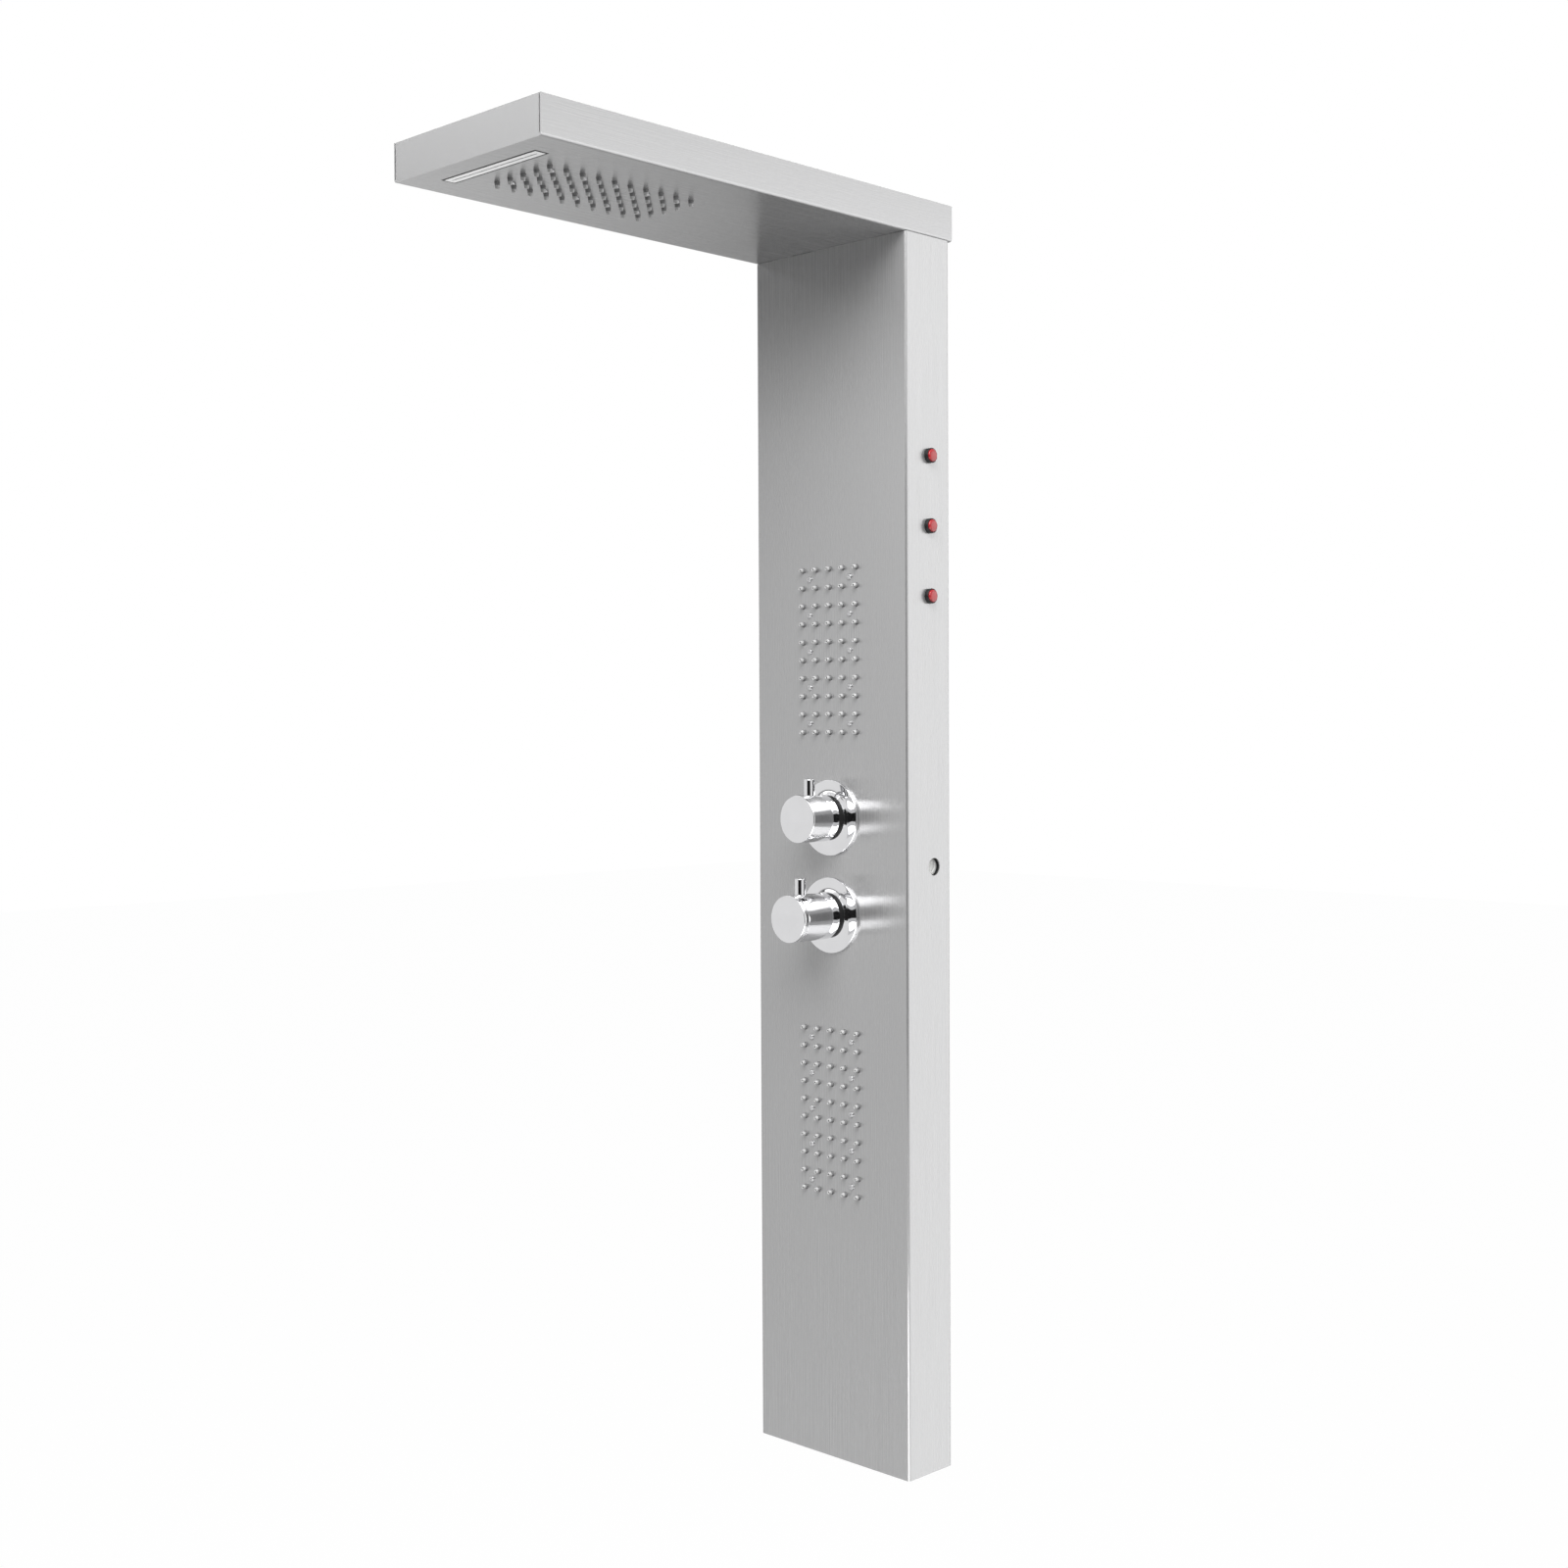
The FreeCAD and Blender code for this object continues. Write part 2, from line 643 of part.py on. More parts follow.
def jet_blocks(label, out, level, turn):
    body = new_piece(label, out=out, level=level, turn=turn)
    outlines = []
    for number in range(BLOCK_COUNT):
        low = "block_pitch * %d - array_half_length + block_gap / 2" % number
        high = "block_pitch * %d - array_half_length - block_gap / 2" % (number + 1)
        outlines.append(box_outline("-array_half_width", "array_half_width", low, high))
    pad(body, "XZ", "-block_back", "block_thickness", outlines)
    nozzle = [("0", "sheet_gauge"), ("nozzle_base_radius", "sheet_gauge"), ("nozzle_base_radius", "0"),
              ("nozzle_tip_radius", "-nozzle_reach"), ("0", "-nozzle_reach")]
    tip = turned(body, "Y", nozzle, shift=("first_column", "0", "first_row"))
    length = "nozzle_reach + block_back + block_gap"
    bore = pocket(body, "XZ", "nozzle_reach", length,
                  circles=[("first_column", "first_row", "nozzle_bore_radius")])
    rows = BLOCK_ROWS * BLOCK_COUNT
    repeat(body, [tip, bore], "X", "jet_pitch * %d" % (JET_COLUMNS - 1), JET_COLUMNS,
           ("Z", "jet_pitch * %d" % (rows - 1), rows))
    screw_holes = [(across, along, "jet_screw_radius + jet_screw_clearance")
                   for across, along in jet_screw_places()]
    pocket(body, "XZ", "-sheet_gauge", "2 * block_thickness", circles=screw_holes)


def jet_screw_places():
    """Two screws in the middle of each block."""
    middle = "(1 - %d) / 2 * block_pitch" % BLOCK_COUNT
    return [("jet_screw_column * %d" % side, "%s + block_pitch * %d" % (middle, number))
            for side in (-1, 1) for number in range(BLOCK_COUNT)]


def jet_screws(label, out, level, turn):
    body = new_piece(label, out=out, level=level, turn=turn)
    places = jet_screw_places()
    pad(body, "XZ", "0", "jet_screw_head_height",
        circles=[(across, along, "jet_screw_head_radius") for across, along in places])
    pad(body, "XZ", "-jet_screw_length", "jet_screw_length",
        circles=[(across, along, "jet_screw_radius") for across, along in places])


def manifold(label, out, level, turn, port):
    """A box behind the blocks, with ribs for the screws and its inlet in a boss or in one end."""
    body = new_piece(label, out=out, level=level, turn=turn)
    half_across = "array_half_width + fit_gap"
    half_along = "array_half_length + fit_gap"
    outer = centred(half_across + " + manifold_wall", "manifold_half_length")
    mouth = centred(half_across, half_along)
    pad(body, "XZ", "-manifold_back", "manifold_depth", [outer])
    pocket(body, "XZ", "-sheet_gauge", "block_thickness", [mouth])
    chamber = centred(half_across + " - manifold_ledge", half_along + " - manifold_ledge")
    chamber_depth = "manifold_depth - block_thickness - manifold_wall"
    pocket(body, "XZ", "-block_back", chamber_depth, [chamber] + rib_outlines())
    pilot = "jet_screw_radius + running_clearance"
    pocket(body, "XZ", "-block_back", chamber_depth,
           circles=[(across, along, pilot) for across, along in jet_screw_places()])
    if port == "boss":
        manifold_boss(body)
    else:
        inlet = [("rain_port_offset", "-pipe_rise", "pipe_bore")]
        depth = "2 * manifold_wall + manifold_ledge"
        pocket(body, "XY", "-manifold_half_length", depth, circles=port_in_row_frame(inlet), forward=True)


def rib_outlines():
    """Two ribs along the manifold, one under each row of screws."""
    half = "array_half_length - rib_end_gap"
    return [box_outline("jet_screw_column * %d - rib_half_width" % side,
                        "jet_screw_column * %d + rib_half_width" % side, "-1 * (%s)" % half, half)
            for side in (-1, 1)]


def port_in_row_frame(circles):
    """Circles on the manifold's end, where depth behind the sheet runs along +Y."""
    return [(across, "-1 * (%s)" % along, radius) for across, along, radius in circles]


def manifold_boss(body):
    """A block behind the manifold, with a port on its right, one above and below, and the way in."""
    back = "manifold_back + boss_depth"
    half = "boss_half_width"
    pad(body, "XZ", "-1 * (%s)" % back, "boss_depth", [centred(half, half)])
    feed = "panel_front - button_setback"
    link = "panel_front - link_setback"
    pocket(body, "YZ", half, half, circles=[(feed, "0", "pipe_bore")])
    pocket(body, "XY", half, "2 * " + half, circles=[("0", link, "pipe_bore")])
    pocket(body, "XZ", "-1 * (manifold_back - 2 * manifold_wall)",
           "%s - manifold_back + 2 * manifold_wall" % link, circles=[("0", "0", "boss_way_radius")])


def waterfall_insert():
    """A pale moulding whose lip fills the slot in the arm's underside and holds the water slit."""
    body = new_piece("waterfall_insert", out="waterfall_reach", level="arm_level")
    flange = centred("chamber_half_length", "chamber_half_depth")
    pad(body, "XY", "sheet_gauge", "flange_thickness", [flange])
    pad(body, "XY", "-lip_drop", "sheet_gauge + lip_drop", [centred("lip_length / 2", "lip_width / 2")])
    slit = centred("lip_length / 2 - slit_end_margin", "slit_width / 2")
    pocket(body, "XY", "sheet_gauge + flange_thickness", "2 * (sheet_gauge + flange_thickness)", [slit])


def waterfall_chamber():
    """The box that spreads water along the slit."""
    body = new_piece("waterfall_chamber", out="waterfall_reach", level="arm_level")
    half_across = "chamber_half_length"
    half_along = "chamber_half_depth"
    base = "sheet_gauge + flange_thickness"
    pad(body, "XY", base, "chamber_height", [centred(half_across, half_along)])
    hollow = centred(half_across + " - chamber_wall", half_along + " - chamber_wall")
    pocket(body, "XY", base, "chamber_height - chamber_wall", [hollow], forward=True)
    inlet = [("selector_x + pipe_pair_spacing / 2", "pipe_rise", "pipe_bore")]
    pocket(body, "XZ", "-chamber_half_depth", "2 * chamber_wall", circles=inlet, forward=True)


def valve_block(body):
    """The brass block behind the panel, with the threaded neck that comes through it."""
    half_across = "valve_half_width"
    half_along = "valve_half_height"
    rear = "panel_back - valve_depth"
    pad(body, "XZ", rear, "valve_depth", [centred(half_across, half_along)])
    pad(body, "XZ", "panel_back", "sheet_gauge + neck_reach", circles=[("0", "0", "neck_radius")])


def cartridge_bore(body):
    pocket(body, "XZ", "panel_front + neck_reach", "neck_reach + cartridge_depth",
           circles=[("0", "0", "cartridge_radius + running_clearance")])


def flow_body():
    """Flow valve: mixed water in from below, out to the riser on the left and the hose on the right."""
    body = new_piece("flow_body", level="flow_level")
    valve_block(body)
    cartridge_bore(body)
    depth = "valve_half_width - cartridge_radius + pipe_wall"
    side_port = [("-port_setback", "0", "pipe_bore")]
    pocket(body, "YZ", "valve_half_width", depth, circles=side_port)
    pocket(body, "YZ", "-valve_half_width", depth, circles=side_port, forward=True)
    pocket(body, "XY", "-valve_half_height", "valve_half_height - cartridge_radius + pipe_wall",
           circles=[("0", "-port_setback", "pipe_bore")], forward=True)


def mixer_body():
    """Thermostatic mixer: hot and cold in through its two arms, mixed water out above."""
    body = new_piece("mixer_body", level="mixer_level")
    valve_block(body)
    arms = centred("mixer_arm_half_width", "mixer_arm_half_height")
    pad(body, "XZ", "port_setback - mixer_arm_half_depth", "2 * mixer_arm_half_depth", [arms])
    cartridge_bore(body)
    way_in = [("-port_setback", "0", "supply_way_radius")]
    start = "cartridge_radius / 2"
    for side in (-1, 1):
        pocket(body, "YZ", "%d * %s" % (side, start), "inlet_spread - " + start, circles=way_in,
               forward=side > 0)
    inlets = [("%d * inlet_spread" % side, "-port_setback", "inlet_bore_radius") for side in (-1, 1)]
    pocket(body, "XY", "-mixer_arm_half_height", "mixer_arm_half_height + inlet_bore_radius",
           circles=inlets, forward=True)
    pocket(body, "XY", "valve_half_height", "valve_half_height - cartridge_radius + pipe_wall",
           circles=[("0", "-port_setback", "pipe_bore")])


def cartridge(label, level):
    """The valve's insert, with a nose and a bore for its spindle."""
    body = new_piece(label, level=level)
    nose = "-(panel_front + neck_reach + cartridge_nose_reach)"
    shoulder = "-(panel_front + neck_reach)"
    back = "-(panel_front - cartridge_depth)"
    bore = "spindle_radius + running_clearance"
    floor = "-(panel_front - spindle_depth) + fit_gap"
    turned(body, "Y", [("0", back), ("cartridge_radius", back), ("cartridge_radius", shoulder),
                       ("cartridge_nose_radius", shoulder), ("cartridge_nose_radius", nose), (bore, nose),
                       (bore, floor), ("0", floor)])


def spindle(label, level, front):
    """The shaft that the knob turns, reaching from the cartridge into the knob's hub."""
    body = new_piece(label, level=level)
    tip = "-(panel_front + %s - knob_crown)" % front
    inner = "-(panel_front - spindle_depth)"
    turned(body, "Y", [("0", inner), ("spindle_radius", inner), ("spindle_radius", tip), ("0", tip)])


def escutcheon(label, level):
    """The round cover on the panel, rising in a flared boss towards the knob."""
    body = new_piece(label, out="panel_front", level=level)
    bore = "neck_radius + running_clearance"
    flare = "(boss_base_radius + boss_top_radius) / 2 - escutcheon_rim / 4"
    half_rise = "-(escutcheon_rim + boss_height) / 2"
    edge = "escutcheon_rim / 3"
    turned(body, "Y", [(bore, "0"), ("escutcheon_radius", "0"),
                       ("escutcheon_radius", "-escutcheon_rim + " + edge),
                       ("escutcheon_radius - " + edge, "-escutcheon_rim"),
                       ("boss_base_radius", "-escutcheon_rim"), (flare, half_rise),
                       ("boss_top_radius", "-boss_height"), (bore, "-boss_height")])


def gap_ring(label, level):
    """The black ring in the gap between the escutcheon and the knob."""
    body = new_piece(label, out="panel_front", level=level)
    pad(body, "XZ", "boss_height", "ring_width",
        circles=[("0", "0", "ring_radius"), ("0", "0", "ring_bore_radius")])


def knob(label, level, front, cap_line):
    """A round knob, hollow behind its crown, with a hub for the spindle and a hole for its pin."""
    body = new_piece(label, out="panel_front", level=level)
    face = "-1 * " + front
    crown = "-(%s - knob_crown)" % front
    back = "-knob_back"
    bore = "spindle_radius + running_clearance"
    inside = "knob_radius - knob_wall"
    profile = [("0", crown), (bore, crown), (bore, back), ("knob_hub_radius", back),
               ("knob_hub_radius", crown), (inside, crown), (inside, back), ("knob_radius", back)]
    if cap_line:
        line = "-(%s - cap_line_setback)" % front
        groove = "knob_radius - cap_line_width"
        profile += [("knob_radius", line + " + cap_line_width"), (groove, line + " + cap_line_width"),
                    (groove, line), ("knob_radius", line)]
    profile += [("knob_radius", face + " + knob_edge"), ("knob_radius - knob_edge", face), ("0", face)]
    turned(body, "Y", profile)
    axis = "-(%s - pin_setback)" % front
    pocket(body, "XY", "knob_radius", "knob_radius - knob_hub_radius",
           circles=[("0", axis, "pin_radius + running_clearance")])
    pocket(body, "XY", "knob_radius", "knob_radius - spindle_radius",
           circles=[("0", axis, "pin_stud_radius + running_clearance")])


def knob_pin(label, level, front):
    """The lever pin in the knob's rim, with a stud that grips the spindle."""
    body = new_piece(label, out="panel_front + %s - pin_setback" % front, level=level)
    seat = "knob_hub_radius + running_clearance"
    foot = "spindle_radius + 2 * running_clearance"
    top = "knob_radius + pin_reach"
    turned(body, "Z", [("0", foot), ("pin_stud_radius", foot), ("pin_stud_radius", seat), ("pin_radius", seat),
                       ("pin_radius", top + " - pin_edge"), ("pin_radius - pin_edge", top), ("0", top)])


def inlet_nipple(label, side):
    """A male supply thread below one of the mixer's arms."""
    body = new_piece(label, across="%d * inlet_spread" % side, out="port_setback",
                     level="mixer_level - mixer_arm_half_height")
    collar = "-inlet_collar_height"
    end = collar + " - inlet_thread_length"
    turned(body, "Z", [("inlet_bore_radius", "0"), ("inlet_collar_radius", "0"),
                       ("inlet_collar_radius", collar), ("inlet_thread_radius", collar),
                       ("inlet_thread_radius", end), ("inlet_bore_radius", end)])


def button_bezels():
    """Three black bushes through the casing's side, from their rims to the selector's cover."""
    body = new_piece("button_bezels", across="half_width", out="button_setback",
                     level="button_level - button_spacing")
    bore = "stem_radius + running_clearance"
    counterbore = "cap_radius + nozzle_clearance"
    bezel = turned(body, "X", [(bore, "-bezel_shank"), ("bezel_shank_radius", "-bezel_shank"),
                               ("bezel_shank_radius", "0"), ("bezel_radius", "0"),
                               ("bezel_radius", "bezel_projection"), (counterbore, "bezel_projection"),
                               (counterbore, "bezel_floor"), (bore, "bezel_floor")])
    repeat(body, [bezel], "Z", "2 * button_spacing", len(BUTTON_NAMES))


def button_nuts():
    """The hexagon nuts that clamp the bezels from inside."""
    body = new_piece("button_nuts", across="half_width", out="button_setback",
                     level="button_level - button_spacing")
    turns = [math.radians(60 * corner) for corner in range(6)]
    hexagon = [("nut_radius * %.6f" % math.cos(turn), "nut_radius * %.6f" % math.sin(turn)) for turn in turns]
    nut = pad(body, "YZ", "-(sheet_gauge + nut_thickness)", "nut_thickness", [hexagon],
              [("0", "0", "bezel_shank_radius + running_clearance")])
    repeat(body, [nut], "Z", "2 * button_spacing", len(BUTTON_NAMES))


def push_button(name, step):
    """A red cap on a stem with a collar, which reaches through its bezel into the selector valve."""
    body = new_piece(name + "_button", across="half_width", out="button_setback",
                     level="button_level + button_spacing * %d" % step)
    end = "-(chamber_floor + stem_seat)"
    back = "bezel_floor + button_travel + fit_gap"
    front = "bezel_projection + cap_projection"
    turned(body, "X", [("0", end), ("stem_radius", end), ("stem_radius", "-collar_back"),
                       ("collar_radius", "-collar_back"), ("collar_radius", "-collar_front"),
                       ("stem_radius", "-collar_front"), ("stem_radius", back), ("cap_radius", back),
                       ("cap_radius", front), ("0", front)])
    doc.recompute()
    face = size("bezel_projection") + size("cap_projection")
    base = body.Tip
    names = ["Edge%d" % number for number, edge in enumerate(base.Shape.Edges, 1)
             if near(edge.BoundBox.XMin, face) and near(edge.BoundBox.XMax, face)]
    rounding = body.newObject("PartDesign::Fillet", "Rounding")
    rounding.Base = (base, names)
    bind(rounding, "Radius", "cap_edge")


def button_spring(name, step):
    """The return spring round a button's stem, between its collar and the chamber's floor."""
    body = new_piece(name + "_button_spring", across="half_width", out="button_setback",
                     level="button_level + button_spacing * %d" % step)
    bore = "stem_radius + nozzle_clearance"
    outer = bore + " + spring_wire"
    front = "-(collar_back + running_clearance)"
    back = "-(chamber_floor - running_clearance)"
    turned(body, "X", [(bore, front), (outer, front), (outer, back), (bore, back)])


def selector_block():
    """The valve block behind the buttons, with a chamber for each and its pipe ports."""
    body = new_piece("selector_block", across="half_width - selector_face", out="button_setback",
                     level="button_level")
    pad(body, "YZ", "-selector_thickness", "selector_thickness",
        [centred("selector_half_depth", "selector_half_height")])
    stems = ["button_spacing * %d" % step for step in (-1, 0, 1)]
    pocket(body, "YZ", "0", "chamber_depth", circles=[("0", stem, "chamber_radius") for stem in stems])
    seat = "stem_radius + running_clearance"
    pocket(body, "YZ", "0", "chamber_depth + stem_seat + button_travel + fit_gap",
           circles=[("0", stem, seat) for stem in stems])
    middle = "-selector_thickness / 2"
    top_ports = [("%s + %d * pipe_pair_spacing / 2" % (middle, side), "0", "pipe_bore") for side in (-1, 1)]
    depth = "selector_margin - chamber_radius + pipe_wall"
    pocket(body, "XY", "selector_half_height", depth, circles=top_ports)
    pocket(body, "XY", "-selector_half_height", depth, circles=[(middle, "0", "pipe_bore")], forward=True)
    inlet = [("0", "selector_inlet_rise", "pipe_bore")]
    pocket(body, "YZ", "-selector_thickness", "selector_thickness / 2", circles=inlet, forward=True)


def selector_cover():
    """The plate that closes the button chambers and guides the stems."""
    body = new_piece("selector_cover", across="half_width - selector_face", out="button_setback",
                     level="button_level")
    guide = "stem_radius + running_clearance"
    pad(body, "YZ", "0", "selector_cover", [centred("selector_half_depth", "selector_half_height")],
        [("0", "button_spacing * %d" % step, guide) for step in (-1, 0, 1)])


def outlet_bush():
    """A blind bush behind the round outlet in the casing's side, with its pipe port at the inner end."""
    body = new_piece("outlet_bush", across="half_width", out="outlet_setback", level="outlet_level")
    face = "-sheet_gauge"
    end = "-(sheet_gauge + bush_length)"
    floor = end + " + bush_floor"
    turned(body, "X", [("outlet_radius", face), ("bush_radius", face), ("bush_radius", end), ("pipe_bore", end),
                       ("pipe_bore", floor), ("outlet_radius", floor)])


def outlet_plug():
    """The pale plug that closes the outlet until a hose is fitted."""
    body = new_piece("outlet_plug", across="half_width", out="outlet_setback", level="outlet_level")
    rim = "outlet_radius - running_clearance"
    back = "-(plug_recess + plug_length)"
    turned(body, "X", [("0", back), (rim, back), (rim, "-plug_recess"), ("0", "-plug_recess")])


def straight_pipe(label, out, low, high):
    """An upright pipe at the middle of the column, between two levels."""
    body = new_piece(label, out=out, level=low)
    pad(body, "XY", "0", "(%s) - (%s)" % (high, low),
        circles=[("0", "0", "pipe_radius"), ("0", "0", "pipe_bore")])


def bent_path(points, bend):
    """Straight runs between points, joined by tangent arcs of one radius."""
    edges = []
    start = points[0]
    for before, corner, after in zip(points, points[1:], points[2:]):
        way_in = (corner - before).normalize()
        way_out = (after - corner).normalize()
        turn = way_in.getAngle(way_out)
        setback = bend * math.tan(turn / 2)
        first = corner - way_in * setback
        last = corner + way_out * setback
        inward = (way_out - way_in).normalize()
        crest = corner + inward * (bend / math.cos(turn / 2) - bend)
        edges.append(Part.LineSegment(start, first).toShape())
        edges.append(Part.Arc(first, crest, last).toShape())
        start = last
    edges.append(Part.LineSegment(start, points[-1]).toShape())
    return Part.Wire(edges)


def bent_pipe(label, points, bend):
    """A pipe along a bent path, checked against its section times its length."""
    path = bent_path([FreeCAD.Vector(*point) for point in points], bend)
    along = path.Edges[0].tangentAt(path.Edges[0].FirstParameter)
    shells = []
    for radius in (size("pipe_radius"), size("pipe_bore")):
        circle = Part.makeCircle(radius, FreeCAD.Vector(*points[0]), along)
        shells.append(path.makePipeShell([Part.Wire(circle)], True, False))
    shape = shells[0].cut(shells[1])
    section = math.pi * (size("pipe_radius") ** 2 - size("pipe_bore") ** 2)
    if abs(shape.Volume / (section * path.Length) - 1) > 0.005:
        raise ValueError(label + " has the wrong volume")
    item = doc.addObject("Part::Feature", label)
    item.Label = label
    item.Shape = shape
    item.Placement = FreeCAD.Placement(FreeCAD.Vector(0, 0, -size("bracket_level")), FreeCAD.Rotation())
    pieces.append(item)


def column_pipes():
    """The pipes between the valves, the selector, the jets and the hose outlet."""
    straight_pipe("mixed_water_pipe", "port_setback", "mixer_level + valve_half_height",
                  "flow_level - valve_half_height")
    straight_pipe("jet_link_pipe", "link_setback", "lower_jet_level + boss_half_width",
                  "upper_jet_level - boss_half_width")
    port = -size("port_setback")
    flow = size("flow_level")
    side = -size("riser_offset")
    buttons = -size("button_setback")
    inlet = size("button_level") + size("selector_inlet_rise")
    selector_left = size("half_width") - size("selector_face") - size("selector_thickness")
    bent_pipe("riser_pipe", [(-size("valve_half_width"), port, flow), (side, port, flow),
                             (side, buttons, inlet), (selector_left, buttons, inlet)], size("pipe_bend"))
    outlet = -size("outlet_setback")
    level = size("outlet_level")
    bush_end = size("half_width") - size("sheet_gauge") - size("bush_length")
    turn = bush_end - size("outlet_pipe_reach")
    bent_pipe("outlet_pipe", [(size("valve_half_width"), port, flow), (turn, port, flow),
                              (turn, outlet, level), (bush_end, outlet, level)], size("tight_bend"))
    selector_low = size("button_level") - size("selector_half_height")
    jets = size("upper_jet_level")
    below = size("selector_x")
    bent_pipe("jet_feed_pipe", [(below, buttons, selector_low), (below, buttons, jets),
                                (size("boss_half_width"), buttons, jets)], size("tight_bend"))


def arm_pipes():
    """The two pipes from the selector's top, up into the arm and forward to its outlets."""
    out = -size("button_setback")
    foot = size("button_level") + size("selector_half_height")
    level = size("arm_level") + size("pipe_rise")
    inner = size("selector_x") - size("pipe_pair_spacing") / 2
    outer = size("selector_x") + size("pipe_pair_spacing") / 2
    chamber = -(size("waterfall_reach") - size("chamber_half_depth"))
    bent_pipe("waterfall_pipe", [(outer, out, foot), (outer, out, level), (outer, chamber, level)],
              size("pipe_bend"))
    rain_end = -(size("rain_reach") - size("manifold_half_length"))
    run = (rain_end + size("panel_front")) / 3
    port = size("rain_port_offset")
    bent_pipe("rain_pipe", [(inner, out, foot), (inner, out, level), (inner, run - size("panel_front"), level),
                            (port, 2 * run - size("panel_front"), level), (port, rain_end, level)],
              size("pipe_bend"))


def build():
    """Make every piece of the column."""
    column_casing()
    bottom_cover()
    arm_tray()
    arm_cover()
    arm_cover_screws()
    arm_bolts()
    for name, side in (("left", -1), ("right", 1)):
        cover_rail("cover_rail_" + name, side)
        joint_angle("joint_angle_" + name, side)
    for name, level in (("upper", "bracket_level"), ("lower", "lower_bracket_level")):
        wall_bracket(name + "_wall_bracket", level)
        hanger_bar(name + "_hanger_bar", level)
    jet_grid("upper", "panel_front", "upper_jet_level", "boss")
    jet_grid("lower", "panel_front", "lower_jet_level", "boss")
    face_down = FreeCAD.Rotation(FreeCAD.Vector(1, 0, 0), 90)
    jet_grid("rain", "rain_reach", "arm_level", "end", face_down)
    waterfall_insert()
    waterfall_chamber()
    flow_body()
    mixer_body()
    for name, front in (("flow", "flow_knob_front"), ("mixer", "mixer_knob_front")):
        level = name + "_level"
        cartridge(name + "_cartridge", level)
        spindle(name + "_spindle", level, front)
        escutcheon(name + "_escutcheon", level)
        gap_ring(name + "_gap_ring", level)
        knob(name + "_knob", level, front, cap_line=name == "mixer")
        knob_pin(name + "_knob_pin", level, front)
    inlet_nipple("hot_inlet_nipple", -1)
    inlet_nipple("cold_inlet_nipple", 1)
    button_bezels()
    button_nuts()
    for step, name in enumerate(BUTTON_NAMES, -1):
        push_button(name, step)
        button_spring(name, step)
    selector_block()
    selector_cover()
    outlet_bush()
    outlet_plug()
    column_pipes()
    arm_pipes()
    doc.recompute()


def write_pieces():
    """Check every object and every piece's shape, then write one file for each piece."""
    for item in doc.Objects:
        if "Invalid" in item.State or "Error" in item.State:
            raise ValueError("%s (%s) failed" % (item.Name, item.Label))
    for piece in pieces:
        if piece.Shape.isNull() or not piece.Shape.isValid() or not piece.Shape.Solids:
            raise ValueError(piece.Label + " has no sound shape")
    os.makedirs("parts", exist_ok=True)
    for piece in pieces:
        piece.Shape.exportStep("parts/%s.step" % piece.Label)


fill_sheet()
build()
write_pieces()
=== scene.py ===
import math

import bmesh
import bpy
from bpy.props import FloatProperty, FloatVectorProperty, IntProperty, PointerProperty
from mathutils import Matrix, Vector


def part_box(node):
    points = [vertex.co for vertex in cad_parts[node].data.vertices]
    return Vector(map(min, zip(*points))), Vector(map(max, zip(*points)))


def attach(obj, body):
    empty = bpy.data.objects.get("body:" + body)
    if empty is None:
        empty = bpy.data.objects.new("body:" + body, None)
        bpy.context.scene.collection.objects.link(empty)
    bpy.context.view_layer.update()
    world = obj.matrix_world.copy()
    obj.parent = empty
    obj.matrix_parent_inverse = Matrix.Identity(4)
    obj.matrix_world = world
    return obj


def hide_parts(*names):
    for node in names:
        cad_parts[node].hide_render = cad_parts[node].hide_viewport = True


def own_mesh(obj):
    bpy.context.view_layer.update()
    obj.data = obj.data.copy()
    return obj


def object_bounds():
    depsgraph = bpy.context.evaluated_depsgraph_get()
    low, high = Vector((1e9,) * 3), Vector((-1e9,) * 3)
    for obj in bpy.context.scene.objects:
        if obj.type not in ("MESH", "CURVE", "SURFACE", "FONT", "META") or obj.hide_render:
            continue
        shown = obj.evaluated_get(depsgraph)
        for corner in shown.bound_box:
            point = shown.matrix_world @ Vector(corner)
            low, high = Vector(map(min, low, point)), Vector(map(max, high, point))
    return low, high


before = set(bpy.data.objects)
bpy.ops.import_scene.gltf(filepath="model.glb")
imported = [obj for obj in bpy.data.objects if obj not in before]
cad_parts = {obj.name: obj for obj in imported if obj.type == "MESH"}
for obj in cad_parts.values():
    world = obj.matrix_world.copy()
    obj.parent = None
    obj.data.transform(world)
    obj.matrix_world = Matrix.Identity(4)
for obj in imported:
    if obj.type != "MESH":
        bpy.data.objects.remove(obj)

bl_info = {
    "name": "Shower Column",
    "version": (1, 0, 0),
    "blender": (4, 5, 0),
    "location": "View3D > Sidebar > Shower",
    "description": "Finishes a wall-hung shower column with an overhead arm, jets, knobs and push buttons",
    "category": "Object",
}

CAD_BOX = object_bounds()
LOW, HIGH = CAD_BOX
MM = 0.001
FINE_EDGE = 0.2 * MM
SOFT_EDGE = 0.5 * MM
MERGE = 0.001 * MM
SHARP_ANGLE = math.radians(35)
PANEL_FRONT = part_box("column_casing")[0].y
SIDE_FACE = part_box("column_casing")[1].x
ARM_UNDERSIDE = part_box("arm_tray")[0].z
OUT_OF_PANEL = Vector((0, -1, 0))
OUT_OF_SIDE = Vector((1, 0, 0))
ALONG_ARM = Vector((0, 1, 0))
UP = Vector((0, 0, 1))
DOWN = Vector((0, 0, -1))
JET_GRIDS = ("upper", "lower", "rain")

# How finely round pieces are divided
NOZZLE_SIDES = 12
SCREW_SIDES = 18
BUTTON_SIDES = 48
PIN_SIDES = 64
PLUG_SIDES = 64
KNOB_SIDES = 128
WIRE_SIDES = 8
COIL_STEPS = 20

